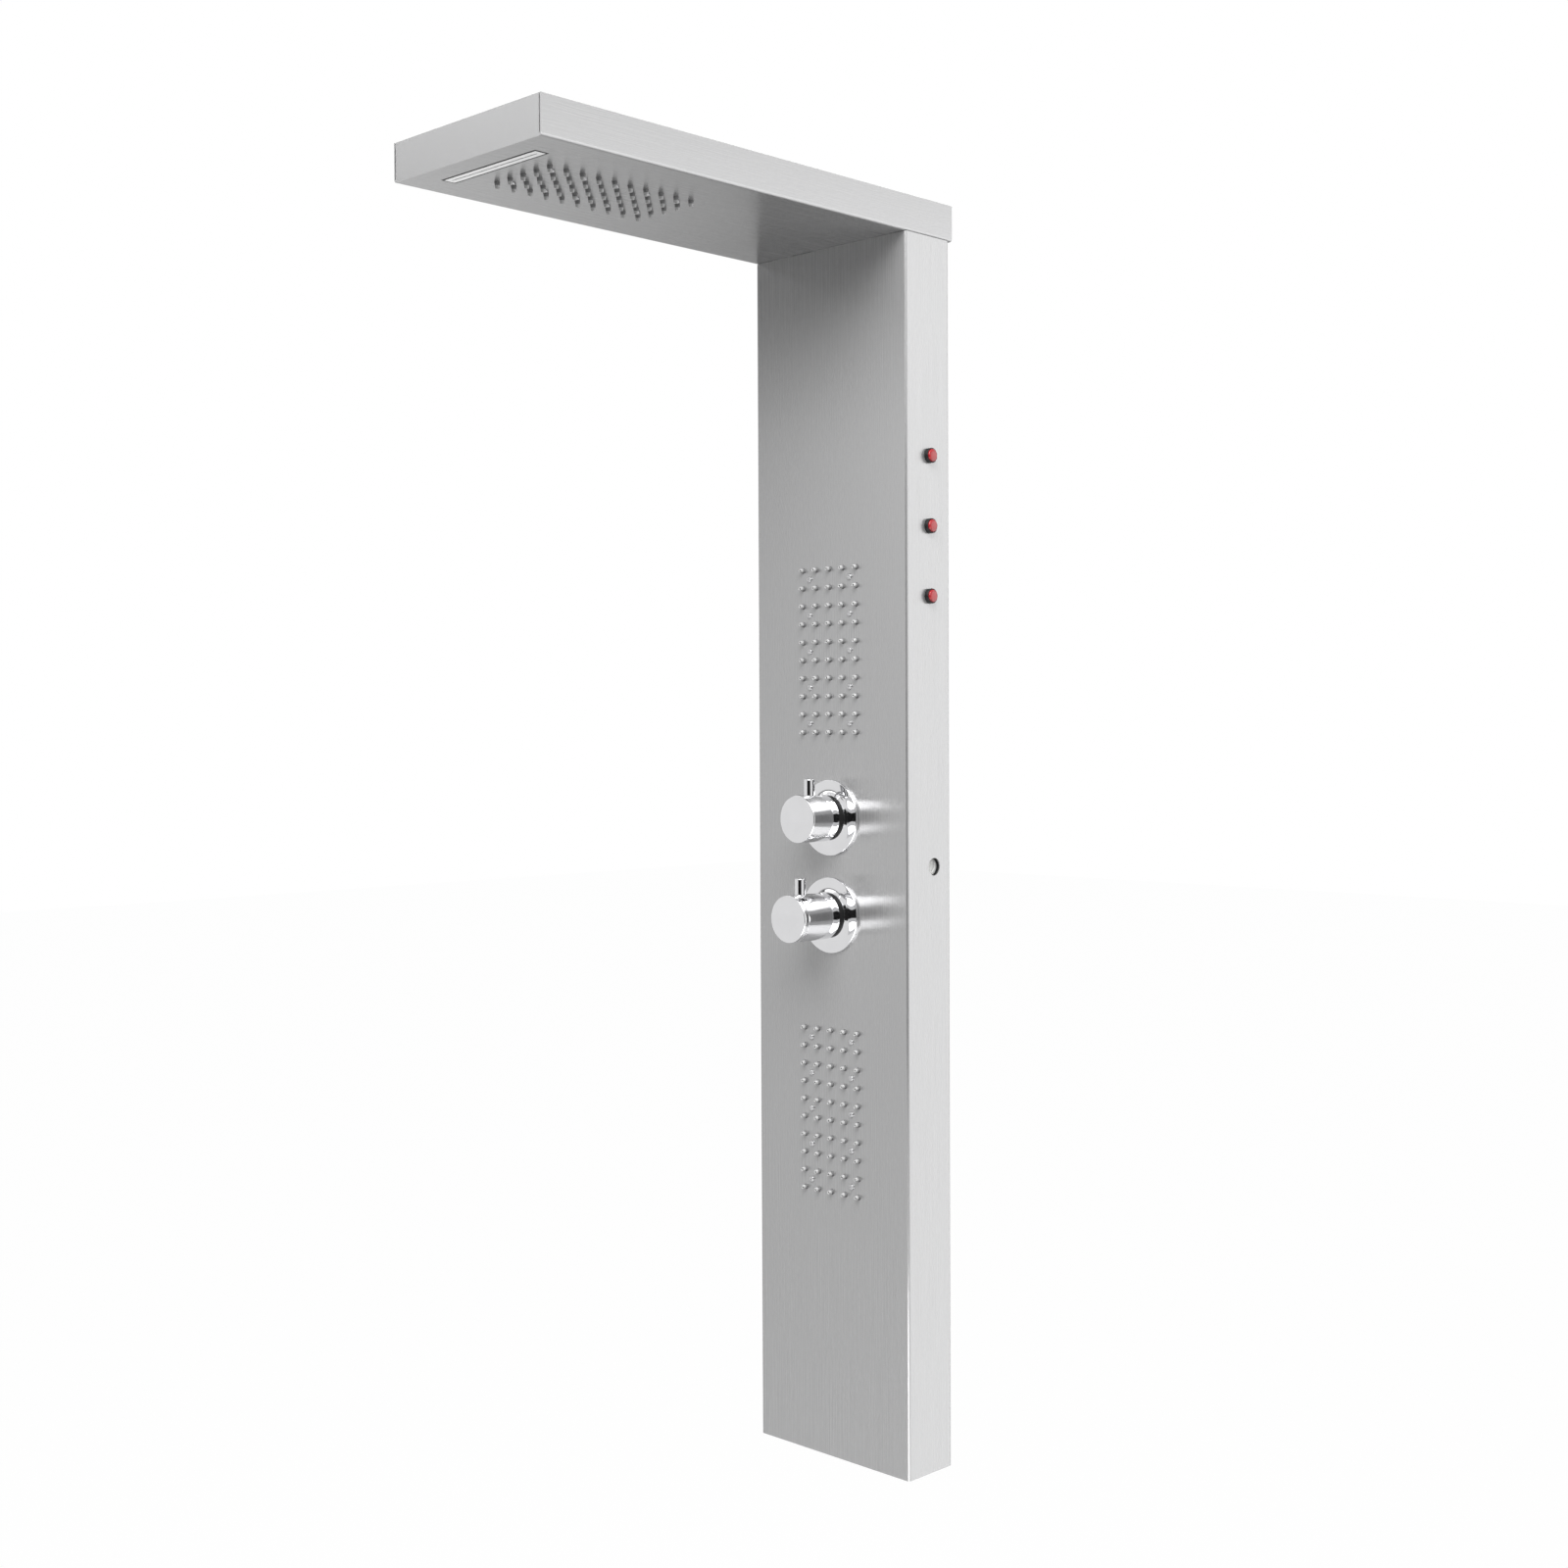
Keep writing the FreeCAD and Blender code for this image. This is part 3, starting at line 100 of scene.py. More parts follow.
# The noise that every finish follows
GRAIN_DETAIL = 3.0
GRAIN_ROUGHNESS = 0.6
NOISE_MIDDLE = 0.5
TONE_STOPS = (0.3, 0.7)
RELIEF_DEPTH = 0.2 * MM
# A slight lean of the brushing, so that it never runs straight along a face's normal
LEAN = Vector((0.001, 0, 0))

SENSOR_WIDTH = 36


def colour(name, text, value):
    return FloatVectorProperty(name=name, description=text, default=value, size=3, min=0, max=1,
                               subtype="COLOR")


def grey(name, text, value):
    return colour(name, text, (value, value, value))


def length(name, text, millimetres):
    return FloatProperty(name=name, description=text, default=millimetres * MM, min=0, unit="LENGTH")


def share(name, text, value):
    return FloatProperty(name=name, description=text, default=value, min=0, max=1, subtype="FACTOR")


def amount(name, text, value):
    return FloatProperty(name=name, description=text, default=value, min=0)


def fade(name, text, start, end):
    return FloatVectorProperty(name=name, description=text, default=(start, end), size=2, min=0)


def angle(name, text, degrees):
    return FloatProperty(name=name, description=text, default=math.radians(degrees), subtype="ANGLE")


def point(name, text, metres):
    return FloatVectorProperty(name=name, description=text, default=metres, size=3, subtype="XYZ",
                               unit="LENGTH")


def extent(name, text, metres):
    return FloatVectorProperty(name=name, description=text, default=metres, size=2, min=0, unit="LENGTH")


class SteelSettings(bpy.types.PropertyGroup):
    """The sheet steel of the column and the arm."""
    sheet: colour("Sheet", "Colour of the brushed sheet", (0.46, 0.46, 0.463))
    fine: share("Fine grain", "Roughness where the brushing is finest", 0.18)
    coarse: share("Coarse grain", "Roughness where the brushing is coarsest", 0.28)
    brushing: share("Brushing", "How far the brushing stretches reflections across the grain", 0.9)
    shine: share("Shine", "How much of the light the sheet mirrors, where the rest is scattered", 0.48)
    glancing: share("Glancing", "How bright the sheet stays at a glancing angle", 0.55)
    across: amount("Across", "Grains per metre across the brushing", 6000)
    along: amount("Along", "Grains per metre along the brushing", 8)


class JetSettings(bpy.types.PropertyGroup):
    """The nozzles of the jet grids."""
    # The nozzles' pale tips are painted light and their dark grey sides partly painted shade, standing in for
    # each lit tip and its dark reflection in the sheet
    silicone: colour("Silicone", "Colour of the nozzles' sides", (0.26, 0.26, 0.263))
    pale: grey("Pale", "Colour of the nozzles' tips", 0.7)
    painted_light_reach: length("Pale reach", "Length of a nozzle's pale tip", 2.8)
    pitch: length("Pitch", "Distance between nozzles", 17.8)
    columns: IntProperty(name="Columns", description="Nozzles across a grid", default=5, min=2)
    rows: IntProperty(name="Rows", description="Nozzles along a grid", default=10, min=2)
    reach: length("Reach", "How far a nozzle stands out of the sheet", 5.5)
    base: length("Base radius", "Radius of a nozzle where it leaves the sheet", 2.5)
    tip: length("Tip radius", "Radius of a nozzle at its tip", 1.8)
    bore: length("Bore radius", "Radius of a nozzle's water way", 0.7)
    sheet: length("Sheet", "Thickness of the sheet that the nozzles come through", 1.2)
    block: length("Block", "Thickness of a nozzle block behind the sheet", 6)
    gap: length("Gap", "Gap between neighbouring blocks", 1)


class ScrewSettings(bpy.types.PropertyGroup):
    """The screws in the jet grids and the arm's lid."""
    bright: colour("Bright", "Colour of the bright screws", (0.5, 0.5, 0.505))
    dome: share("Dome", "Rounding of a domed head, as a share of its height", 0.4)
    socket: share("Socket", "Radius of the socket, as a share of the head's", 0.35)
    depth: share("Socket depth", "Depth of the socket, as a share of the head's height", 0.5)
    jet_shank: length("Jet screw shank", "Radius of a jet screw's shank", 1.2)
    lid_shank: length("Lid screw shank", "Radius of a lid screw's shank", 1.5)
    lid_inset: length("Lid screw inset", "Distance of the lid screws from the arm's sides", 6.2)
    lid_span: length("Lid screw span", "Distance between neighbouring lid screws", 194.5)
    lid_middle: length("Lid screw middle", "Distance of the middle lid screws from the wall", 286.5)


class WaterfallSettings(bpy.types.PropertyGroup):
    """The pale insert in the slot under the arm."""
    white: grey("White", "Colour of the insert's lip and of the outlet's plug", 0.93)
    # The seal's near-black colour is painted shadow: it stands in for the shade in the gap round the white
    # lip
    black: grey("Black", "Colour of the seal round the insert", 0.01)
    lip_length: length("Lip length", "Length of the sealed lip in the slot", 127.4)
    lip_width: length("Lip width", "Width of the sealed lip in the slot", 14.4)
    shade_seal: length("Seal", "Width of the black seal round the white lip", 1.7)
    step: length("Step", "How far the white lip stands out of its seal", 0.1)
    slit: length("Slit", "Width of the water slit", 1.2)


class KnobSettings(bpy.types.PropertyGroup):
    """The two chrome knobs, their pins and the covers behind them."""
    chrome: colour("Chrome", "Colour of the polished chrome", (0.68, 0.68, 0.69))
    # The ring's near-black colour is painted shadow for the gap between a knob and its cover
    ring: grey("Ring", "Colour of the ring in the gap behind a knob", 0.006)
    wall: length("Wall", "Thickness of a knob's wall", 3.5)
    crown: length("Crown", "Thickness of a knob's face", 6)
    hub: length("Hub radius", "Radius of the hub inside a knob", 8)
    bore: length("Bore radius", "Radius of the hole for the spindle", 4.05)
    edge: length("Edge", "Rounding of a knob's front edge, of its inside and of its pin's top", 1)
    line: length("Line", "Width of the fine line round the mixer's knob", 0.7)
    line_setback: length("Line setback", "Distance of the fine line from the knob's face", 5)
    rim: length("Rim", "Thickness of a cover's rim", 3)
    rim_edge: length("Rim edge", "Rounding of a cover's rim", 1.2)
    flare: length("Flare radius", "Radius where a cover starts to rise", 28)
    flare_edge: length("Flare edge", "Rounding where a cover starts to rise", 3)
    top: length("Top radius", "Radius of a cover at the gap", 23)
    neck: length("Neck radius", "Radius of the hole in a cover", 17.05)


class ButtonSettings(bpy.types.PropertyGroup):
    """The push buttons, their bezels and springs."""
    cap: colour("Cap", "Colour of the buttons", (0.45, 0.012, 0.02))
    # On the outlet's bush this black also paints the shade on the recess wall round the plug
    bezel: colour("Bezel", "Colour of the bezels and of the outlet's bush", (0.012, 0.012, 0.013))
    steel: grey("Steel", "Colour of the spring wire", 0.5)
    back: length("Cap back", "Distance of a cap's back from the casing", 2.9)
    stem: length("Stem radius", "Radius of a button's stem", 2.5)
    stem_gap: length("Stem gap", "Gap between a stem and its bezel", 0.05)
    collar: length("Collar radius", "Radius of the collar on a stem", 3.8)
    collar_width: length("Collar width", "Thickness of the collar on a stem", 1.5)
    dome: length("Dome", "Height of the dome on a button", 0.9)
    dome_edge: length("Dome edge", "Rounding of the dome's corners", 1)
    shoulder: share("Shoulder", "Radius of the dome's shoulder, as a share of the button's", 0.6)
    shoulder_drop: share("Shoulder drop", "Drop of the shoulder from the top, as a share of the dome", 0.2)
    cap_gap: length("Cap gap", "Gap between a cap and its bezel", 0.2)
    shank: length("Shank radius", "Radius of a bezel's shank", 4.9)
    floor: length("Bezel floor", "Thickness of a bezel's floor", 0.6)
    wire: length("Wire", "Diameter of the spring wire", 0.8)
    coils: IntProperty(name="Coils", description="Turns of a return spring", default=8, min=2)


class OutletSettings(bpy.types.PropertyGroup):
    """The plug in the hose outlet."""
    rim: length("Rim", "Width of the plug's rim", 2.2)
    dish: length("Dish", "Depth of the dish in the plug", 0.8)


class InnerSettings(bpy.types.PropertyGroup):
    """The brackets, valves, manifolds and pipes inside."""
    zinc: colour("Zinc", "Colour of the galvanised brackets, bars, angles and rails", (0.5, 0.51, 0.52))
    plain: grey("Plain", "Colour of the bolts and nuts", 0.6)
    moulded: colour("Moulded", "Colour of the manifolds, the chamber and the selector", (0.6, 0.6, 0.59))
    brass: colour("Brass", "Colour of the valve bodies, nipples and spindles", (0.62, 0.45, 0.2))
    pipe: colour("Pipe", "Colour of the pipes", (0.58, 0.58, 0.59))
    cartridge: colour("Cartridge", "Colour of the cartridges", (0.72, 0.72, 0.7))


class StageSettings(bpy.types.PropertyGroup):
    """The camera, the lamps, the floor and the cards that only reflections see."""
    lens: FloatProperty(name="Lens", description="Focal length of the camera", default=46.86, min=1,
                        unit="CAMERA")
    turn: angle("Turn", "How far the camera stands round to the right", 44.53)
    pitch: angle("Pitch", "How far the camera looks up", -1.5)
    roll: angle("Roll", "How far the camera leans", -0.27)
    stand: point("Stand", "Where the camera stands", (1.3744, -1.5303, -0.3901))
    floor: grey("Floor", "Colour of the floor", 0.5)
    floor_drop: length("Floor drop", "How far the floor lies below the column", 1200)
    floor_span: extent("Floor span", "Width and depth of the floor", (40, 40))
    floor_white: share("Floor white", "How far plain white covers the floor's colour and shadow", 0.92)
    floor_glow: amount("Floor glow", "Brightness of the floor's white", 1.065)
    ambient: amount("Ambient", "Strength of the light from all round", 0.22)
    key_lamp: amount("Key lamp", "Brightness of the lamp above the front", 6.6)
    key_place: point("Key place", "Where the lamp above the front hangs", (1.0, -1.55, 1.3))
    key_size: extent("Key size", "Width and height of the lamp above the front", (2.2, 1.6))
    side_lamp: amount("Side lamp", "Brightness of the lamp on the right", 1.4)
    side_place: point("Side place", "Where the lamp on the right stands", (1.55, 1.45, -0.7))
    side_size: extent("Side size", "Width and height of the lamp on the right", (1.8, 2.88))
    end_lamp: amount("End lamp", "Brightness of the strip on the left", 1.4)
    end_place: point("End place", "Where the strip on the left hangs", (-2.05, -2.1, 0.99))
    end_size: extent("End size", "Width and height of the strip on the left", (1.6, 0.3))
    low_fade: fade("Low card", "Brightness at the foot and the head of the card below the front", 4.6, 4.6)
    low_place: point("Low place", "Where the card below the front lies", (0.9, -1.35, -1.8))
    low_size: extent("Low size", "Width and height of the card below the front", (2.2, 0.9))
    front_fade: fade("Front card", "Brightness at the foot and the head of the dark card", 0.02, 0.02)
    front_place: point("Front place", "Where the dark card stands, from the upper knob", (1.5, -2.6, 0))
    front_size: extent("Front size", "Width and height of the dark card", (4.2, 1.6))
    top_fade: fade("Top card", "Brightness at the foot and the head of the card on the left", 1.0, 0.0)
    top_place: point("Top place", "Where the card on the left hangs", (-2.03, -2.14, 0.575))
    top_size: extent("Top size", "Width and height of the card on the left", (3.0, 0.49))
    back_fade: fade("Back card", "Brightness at the left and the right of the card behind", 1.95, 0.3)
    back_place: point("Back place", "Where the card behind stands", (-2.2, 1.5, -0.65))
    back_size: extent("Back size", "Width and height of the card behind", (2.6, 1.8))


class Nodes:
    """The nodes of one material or world, added and joined by short calls."""

    def __init__(self, tree, keep=False):
        self.tree = tree
        if not keep:
            tree.nodes.clear()

    def add(self, kind, operation=None, **values):
        node = self.tree.nodes.new(kind)
        if operation:
            node.operation = operation
        for entry, value in values.items():
            node.inputs[entry.replace("_", " ")].default_value = value
        return node

    def join(self, source, output, target, entry):
        self.tree.links.new(source.outputs[output], target.inputs[entry])


def new_material(name):
    """A material with no nodes yet, and the means to add them."""
    material = bpy.data.materials.new(name)
    material.use_nodes = True
    return material, Nodes(material.node_tree)


def even(grains):
    """The same number of grains per metre along each axis."""
    return (grains, grains, grains)


def grained_finish(name, tint, roughness, grain, shade=0.06, spread=0.05, bump=0.05, metallic=0.0,
                   anisotropy=0.0, coat=0.0, specular=0.5, blur=0.2, glancing=1.0):
    """A finish whose colour, gloss and relief follow one noise, with its grains per metre along each axis."""
    material, nodes = new_material(name)
    position = nodes.add("ShaderNodeTexCoord")
    stretch = nodes.add("ShaderNodeMapping", Scale=grain)
    noise = nodes.add("ShaderNodeTexNoise", Scale=1.0, Detail=GRAIN_DETAIL, Roughness=GRAIN_ROUGHNESS)
    tone = nodes.add("ShaderNodeValToRGB")
    for stop, place, factor in zip(tone.color_ramp.elements, TONE_STOPS, (1 - shade, 1 + shade)):
        stop.position = place
        stop.color = [min(1, part * factor) for part in tint] + [1]
    gloss = nodes.add("ShaderNodeMapRange", From_Min=NOISE_MIDDLE - blur, From_Max=NOISE_MIDDLE + blur,
                      To_Min=max(0, roughness - spread), To_Max=roughness + spread)
    relief = nodes.add("ShaderNodeBump", Strength=bump, Distance=RELIEF_DEPTH)
    shader = nodes.add("ShaderNodeBsdfPrincipled", Metallic=metallic, Anisotropic=anisotropy,
                       Coat_Weight=coat, Specular_IOR_Level=specular,
                       Specular_Tint=(glancing, glancing, glancing, 1))
    surface = nodes.add("ShaderNodeOutputMaterial")
    nodes.join(position, "Object", stretch, "Vector")
    nodes.join(stretch, "Vector", noise, "Vector")
    nodes.join(noise, "Fac", tone, "Fac")
    nodes.join(noise, "Fac", gloss, "Value")
    nodes.join(noise, "Fac", relief, "Height")
    nodes.join(tone, "Color", shader, "Base Color")
    nodes.join(gloss, "Result", shader, "Roughness")
    nodes.join(relief, "Normal", shader, "Normal")
    nodes.join(shader, "BSDF", surface, "Surface")
    return material


def brushed_finish(name, steel, grain_way):
    """Brushed sheet, with fine and coarse grains along one way, which stretch reflections across it."""
    grain = [steel.along if part else steel.across for part in grain_way]
    material = grained_finish(name, steel.sheet, roughness=(steel.fine + steel.coarse) / 2, grain=grain,
                              shade=0.015, spread=(steel.coarse - steel.fine) / 2, bump=0.01,
                              metallic=steel.shine, anisotropy=steel.brushing, blur=0.08,
                              glancing=steel.glancing)
    nodes = Nodes(material.node_tree, keep=True)
    surface = nodes.add("ShaderNodeNewGeometry")
    across = nodes.add("ShaderNodeVectorMath", operation="CROSS_PRODUCT")
    across.inputs[1].default_value = grain_way + LEAN
    shader = next(node for node in material.node_tree.nodes if node.type == "BSDF_PRINCIPLED")
    nodes.join(surface, "Normal", across, 0)
    nodes.join(across, "Vector", shader, "Tangent")
    return material


def wear(nodes, material):
    """Give CAD nodes a finish in every material slot they have."""
    for name in nodes:
        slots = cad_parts[name].data.materials
        if not slots:
            slots.append(material)
        for index in range(len(slots)):
            slots[index] = material


def middle(node):
    """The middle of a CAD node's box at rest."""
    low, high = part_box(node)
    return (low + high) / 2


def laid(mesh, place, way):
    """Turn a mesh from upright to a way, and move it from the origin to a place."""
    matrix = Matrix.Translation(place) @ UP.rotation_difference(way).to_matrix().to_4x4()
    bmesh.ops.transform(mesh, matrix=matrix, verts=mesh.verts)
    return mesh


def spun(outline, place, way, steps, closed=False, segments=4):
    """A turned piece: corners of (radius, along, rounding), spun about a way from a place."""
    mesh = bmesh.new()
    corners = [mesh.verts.new((radius, 0, along)) for radius, along, rounding in outline]
    for pair in zip(corners, corners[1:] + corners[:closed]):
        mesh.edges.new(pair)
    for rounding in sorted({corner[2] for corner in outline} - {0}):
        picked = [vert for vert, corner in zip(corners, outline) if corner[2] == rounding]
        bmesh.ops.bevel(mesh, geom=picked, offset=rounding, offset_type="OFFSET", segments=segments,
                        profile=0.5, affect="VERTICES", material=-1)
    bmesh.ops.spin(mesh, geom=mesh.verts[:] + mesh.edges[:], cent=(0, 0, 0), axis=(0, 0, 1),
                   dvec=(0, 0, 0), angle=math.tau, steps=steps, use_merge=True, use_normal_flip=False,
                   use_duplicate=False)
    bmesh.ops.remove_doubles(mesh, verts=mesh.verts, dist=MERGE)
    bmesh.ops.recalc_face_normals(mesh, faces=mesh.faces)
    return laid(mesh, place, way)


def block(low, high, rounding, segments=3):
    """A box between two corners, with all its edges rounded."""
    mesh = bmesh.new()
    bmesh.ops.create_cube(mesh, size=1)
    bmesh.ops.scale(mesh, vec=high - low, verts=mesh.verts)
    bmesh.ops.translate(mesh, vec=(low + high) / 2, verts=mesh.verts)
    bmesh.ops.bevel(mesh, geom=mesh.edges[:], offset=rounding, offset_type="OFFSET", segments=segments,
                    profile=0.5, affect="EDGES", material=-1)
    return mesh


def gathered(meshes):
    """One mesh that holds all of several, which are then freed."""
    whole = bmesh.new()
    data = bpy.data.meshes.new("gathered")
    for mesh in meshes:
        mesh.to_mesh(data)
        whole.from_mesh(data)
        mesh.free()
    bpy.data.meshes.remove(data)
    return whole


def copied(pattern, places):
    """A copy of a pattern moved to each place, all in one mesh."""
    copies = [pattern.copy() for place in places]
    for mesh, place in zip(copies, places):
        bmesh.ops.translate(mesh, vec=place, verts=mesh.verts)
    pattern.free()
    return gathered(copies)


def placed(mesh, name, materials, body, nodes):
    """Make a piece of a mesh, on a body, in the place of the CAD nodes that it replaces."""
    data = bpy.data.meshes.new(name)
    mesh.to_mesh(data)
    mesh.free()
    data.shade_smooth()
    data.set_sharp_from_angle(angle=SHARP_ANGLE)
    for material in materials:
        data.materials.append(material)
    piece = bpy.data.objects.new(name, data)
    bpy.context.scene.collection.objects.link(piece)
    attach(piece, body)
    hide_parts(*nodes)
    return piece


class SHOWER_OT_steel(bpy.types.Operator):
    """Brush the sheet steel: along the column's height and along the arm's length"""
    bl_idname = "shower.steel"
    bl_label = "Sheet steel"

    def execute(self, context):
        steel = context.scene.shower_steel
        wear(["column_casing", "bottom_cover"], brushed_finish("brushed_steel_column", steel, UP))
        wear(["arm_tray", "arm_cover"], brushed_finish("brushed_steel_arm", steel, ALONG_ARM))
        return {"FINISHED"}


def grid_seat(name, low, high):
    """The middle of a jet grid on its sheet, the way its nozzles point and the way its rows follow on."""
    seat = (low + high) / 2
    if name == "rain":
        seat.z = ARM_UNDERSIDE
        return seat, DOWN, ALONG_ARM
    seat.y = PANEL_FRONT
    return seat, OUT_OF_PANEL, UP


def nozzle(jets, way):
    """One silicone nozzle with a rounded tip and a countersunk water way; its pale tip is painted light, and
    its dark grey sides are partly the silicone's own grey and partly painted shade.
    """
    root = -jets.sheet - SOFT_EDGE
    mouth = jets.bore + SOFT_EDGE
    pale = jets.reach - jets.painted_light_reach
    girth = jets.base + (jets.tip - jets.base) * pale / jets.reach
    outline = [(jets.bore, root, 0), (jets.base, root, 0), (jets.base, 0, 0), (girth, pale, 0),
               (jets.tip, jets.reach, SOFT_EDGE), (mouth, jets.reach, 0),
               (jets.bore, jets.reach - SOFT_EDGE, 0)]
    mesh = spun(outline, (0, 0, 0), way, NOZZLE_SIDES, closed=True, segments=2)
    # Faces past the painted-light length take the pale painted-light finish, the rest the dark grey finish
    # with painted shade
    for face in mesh.faces:
        face.material_index = int(face.calc_center_median().dot(way) > pale)
    return mesh


class SHOWER_OT_jets(bpy.types.Operator):
    """Shape the nozzle blocks of the two body grids and of the rain grid under the arm"""
    bl_idname = "shower.jets"
    bl_label = "Jet nozzles"

    def execute(self, context):
        jets = context.scene.shower_jets
        # Two tones of one silicone: dark sides, partly painted shade, and pale tips as painted light
        silicone = grained_finish("jet_silicone", jets.silicone, roughness=0.42, grain=even(500), shade=0.08,
                                  bump=0.08)
        pale = grained_finish("jet_tip_painted_light", jets.pale, roughness=0.35, grain=even(500), shade=0.04,
                              bump=0.08)
        for name in JET_GRIDS:
            node = name + "_jet_blocks"
            low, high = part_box(node)
            centre, way, along = grid_seat(name, low, high)
            places = [centre + OUT_OF_SIDE * jets.pitch * (column - (jets.columns - 1) / 2)
                      + along * jets.pitch * (row - (jets.rows - 1) / 2)
                      for column in range(jets.columns) for row in range(jets.rows)]
            pieces = [copied(nozzle(jets, way), places)]
            half_across = OUT_OF_SIDE * (high.x - low.x) / 2
            half_along = along * (jets.pitch - jets.gap / 2)
            for number in range(jets.rows // 2):
                seat = centre + along * jets.pitch * (2 * number + 1 - jets.rows / 2)
                near = seat - half_across - half_along - way * jets.sheet
                far = seat + half_across + half_along - way * (jets.sheet + jets.block)
                corners = [Vector(map(pick, near, far)) for pick in (min, max)]
                pieces.append(block(*corners, SOFT_EDGE, segments=2))
            placed(gathered(pieces), name + "_jet_nozzles", [silicone, pale], "column",
                   [node])
        return {"FINISHED"}


def screw(screws, head, height, shank, reach, place, way, flush=False):
    """A screw with a socket in its head, which is domed or flush with what it holds."""
    top = 0 if flush else height
    under = -height if flush else 0
    edge = FINE_EDGE if flush else height * screws.dome
    socket = head * screws.socket
    floor = top - height * screws.depth
    outline = [(0, floor, 0), (socket, floor, 0), (socket, top, 0), (head, top, edge), (head, under, 0),
               (shank, under, 0), (shank, -reach, FINE_EDGE), (0, -reach, 0)]
    return spun(outline, place, way, SCREW_SIDES, segments=3)


class SHOWER_OT_screws(bpy.types.Operator):
    """Shape the domed screws of the jet grids and the flush screws of the arm's lid"""
    bl_idname = "shower.screws"
    bl_label = "Screws"

    def execute(self, context):
        screws = context.scene.shower_screws
        bright = grained_finish("bright_screw", screws.bright, roughness=0.32, grain=even(800), shade=0.05,
                                metallic=1.0)
        for name in JET_GRIDS:
            self.fix_grid(screws, context.scene.shower_jets, name, bright)
        self.fix_lid(screws, bright)
        return {"FINISHED"}

    def fix_grid(self, screws, jets, name, bright):
        node = name + "_jet_screws"
        low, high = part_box(node)
        centre, way, along = grid_seat(name, low, high)
        height = (low - centre).dot(way)
        reach = (centre - high).dot(way)
        # The screws stand between the outer two columns of nozzles on each side
        across = jets.pitch * (jets.columns - 2) / 2
        places = [centre + OUT_OF_SIDE * across * side
                  + along * jets.pitch * 2 * (number - (jets.rows / 2 - 1) / 2)
                  for side in (-1, 1) for number in range(jets.rows // 2)]
        pattern = screw(screws, high.x - across, height, screws.jet_shank, reach, (0, 0, 0), way)
        placed(copied(pattern, places), name + "_grid_screws", [bright], "column", [node])

    def fix_lid(self, screws, bright):
        low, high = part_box("arm_cover_screws")
        across = SIDE_FACE - screws.lid_inset
        lid = high.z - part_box("arm_cover")[0].z
        pattern = screw(screws, high.x - across, lid, screws.lid_shank, high.z - low.z, (0, 0, high.z), UP,
                        flush=True)
        places = [Vector((side * across, -screws.lid_middle + step * screws.lid_span, 0))
                  for side in (-1, 1) for step in (-1, 0, 1)]
        placed(copied(pattern, places), "lid_screws", [bright], "column", ["arm_cover_screws"])


class SHOWER_OT_waterfall(bpy.types.Operator):
    """Shape the insert under the arm: a white lip with a water slit, on a near-black flange and seal that
    paint the shadow in the gap round the lip
    """
    bl_idname = "shower.waterfall"
    bl_label = "Waterfall insert"

    def execute(self, context):
        fall = context.scene.shower_waterfall
        white = grained_finish("white_plastic", fall.white, roughness=0.3, grain=even(250), shade=0.02,
                               bump=0.02, coat=1.0)
        # Near-black finish for the seal and the flange, painted shadow for the gap round the lip
        black = grained_finish("painted_gap_shadow", fall.black, roughness=0.6, grain=even(500), specular=0.2)
        low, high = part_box("waterfall_insert")
        centre = (low + high) / 2
        flange = ARM_UNDERSIDE + context.scene.shower_jets.sheet
        lip = self.shape_lip(fall, centre, low.z, flange)
        insert = gathered([lip, block(Vector((low.x, low.y, flange)), high, SOFT_EDGE)])
        inside_x = fall.lip_length / 2 - fall.shade_seal + FINE_EDGE / 2
        inside_y = fall.lip_width / 2 - fall.shade_seal + FINE_EDGE / 2
        # Faces outside the white lip, or above the underside, take the near-black painted-shadow finish
        for face in insert.faces:
            spot = face.calc_center_median()
            in_lip = abs(spot.x - centre.x) <= inside_x and abs(spot.y - centre.y) <= inside_y
            face.material_index = int(not in_lip or spot.z > ARM_UNDERSIDE + SOFT_EDGE)
        bmesh.ops.recalc_face_normals(insert, faces=insert.faces)
        placed(insert, "waterfall_lip", [white, black], "column", ["waterfall_insert"])
        return {"FINISHED"}

    def shape_lip(self, fall, centre, bottom, flange):
        """A block in the slot, whose underside steps down inside the near-black shade seal and rises again in
        the slit.
        """
        lip = bmesh.new()
        seal_face = bottom + fall.step
        bmesh.ops.create_cube(lip, size=1)
        bmesh.ops.scale(lip, vec=(fall.lip_length, fall.lip_width, flange - seal_face), verts=lip.verts)
        bmesh.ops.translate(lip, vec=(centre.x, centre.y, (flange + seal_face) / 2), verts=lip.verts)
        underside = [min(lip.faces, key=lambda face: face.normal.z)]
        bmesh.ops.inset_region(lip, faces=underside, thickness=fall.shade_seal, depth=0, use_even_offset=True)
        white_face = bmesh.ops.extrude_discrete_faces(lip, faces=underside)["faces"]
        bmesh.ops.translate(lip, vec=DOWN * fall.step, verts=white_face[0].verts[:])
        beside_slit = (fall.lip_width - fall.slit) / 2 - fall.shade_seal
        bmesh.ops.inset_region(lip, faces=white_face, thickness=beside_slit, depth=0, use_even_offset=True)
        slit = bmesh.ops.extrude_discrete_faces(lip, faces=white_face)["faces"]
        bmesh.ops.translate(lip, vec=UP * (flange - ARM_UNDERSIDE), verts=slit[0].verts[:])
        return lip


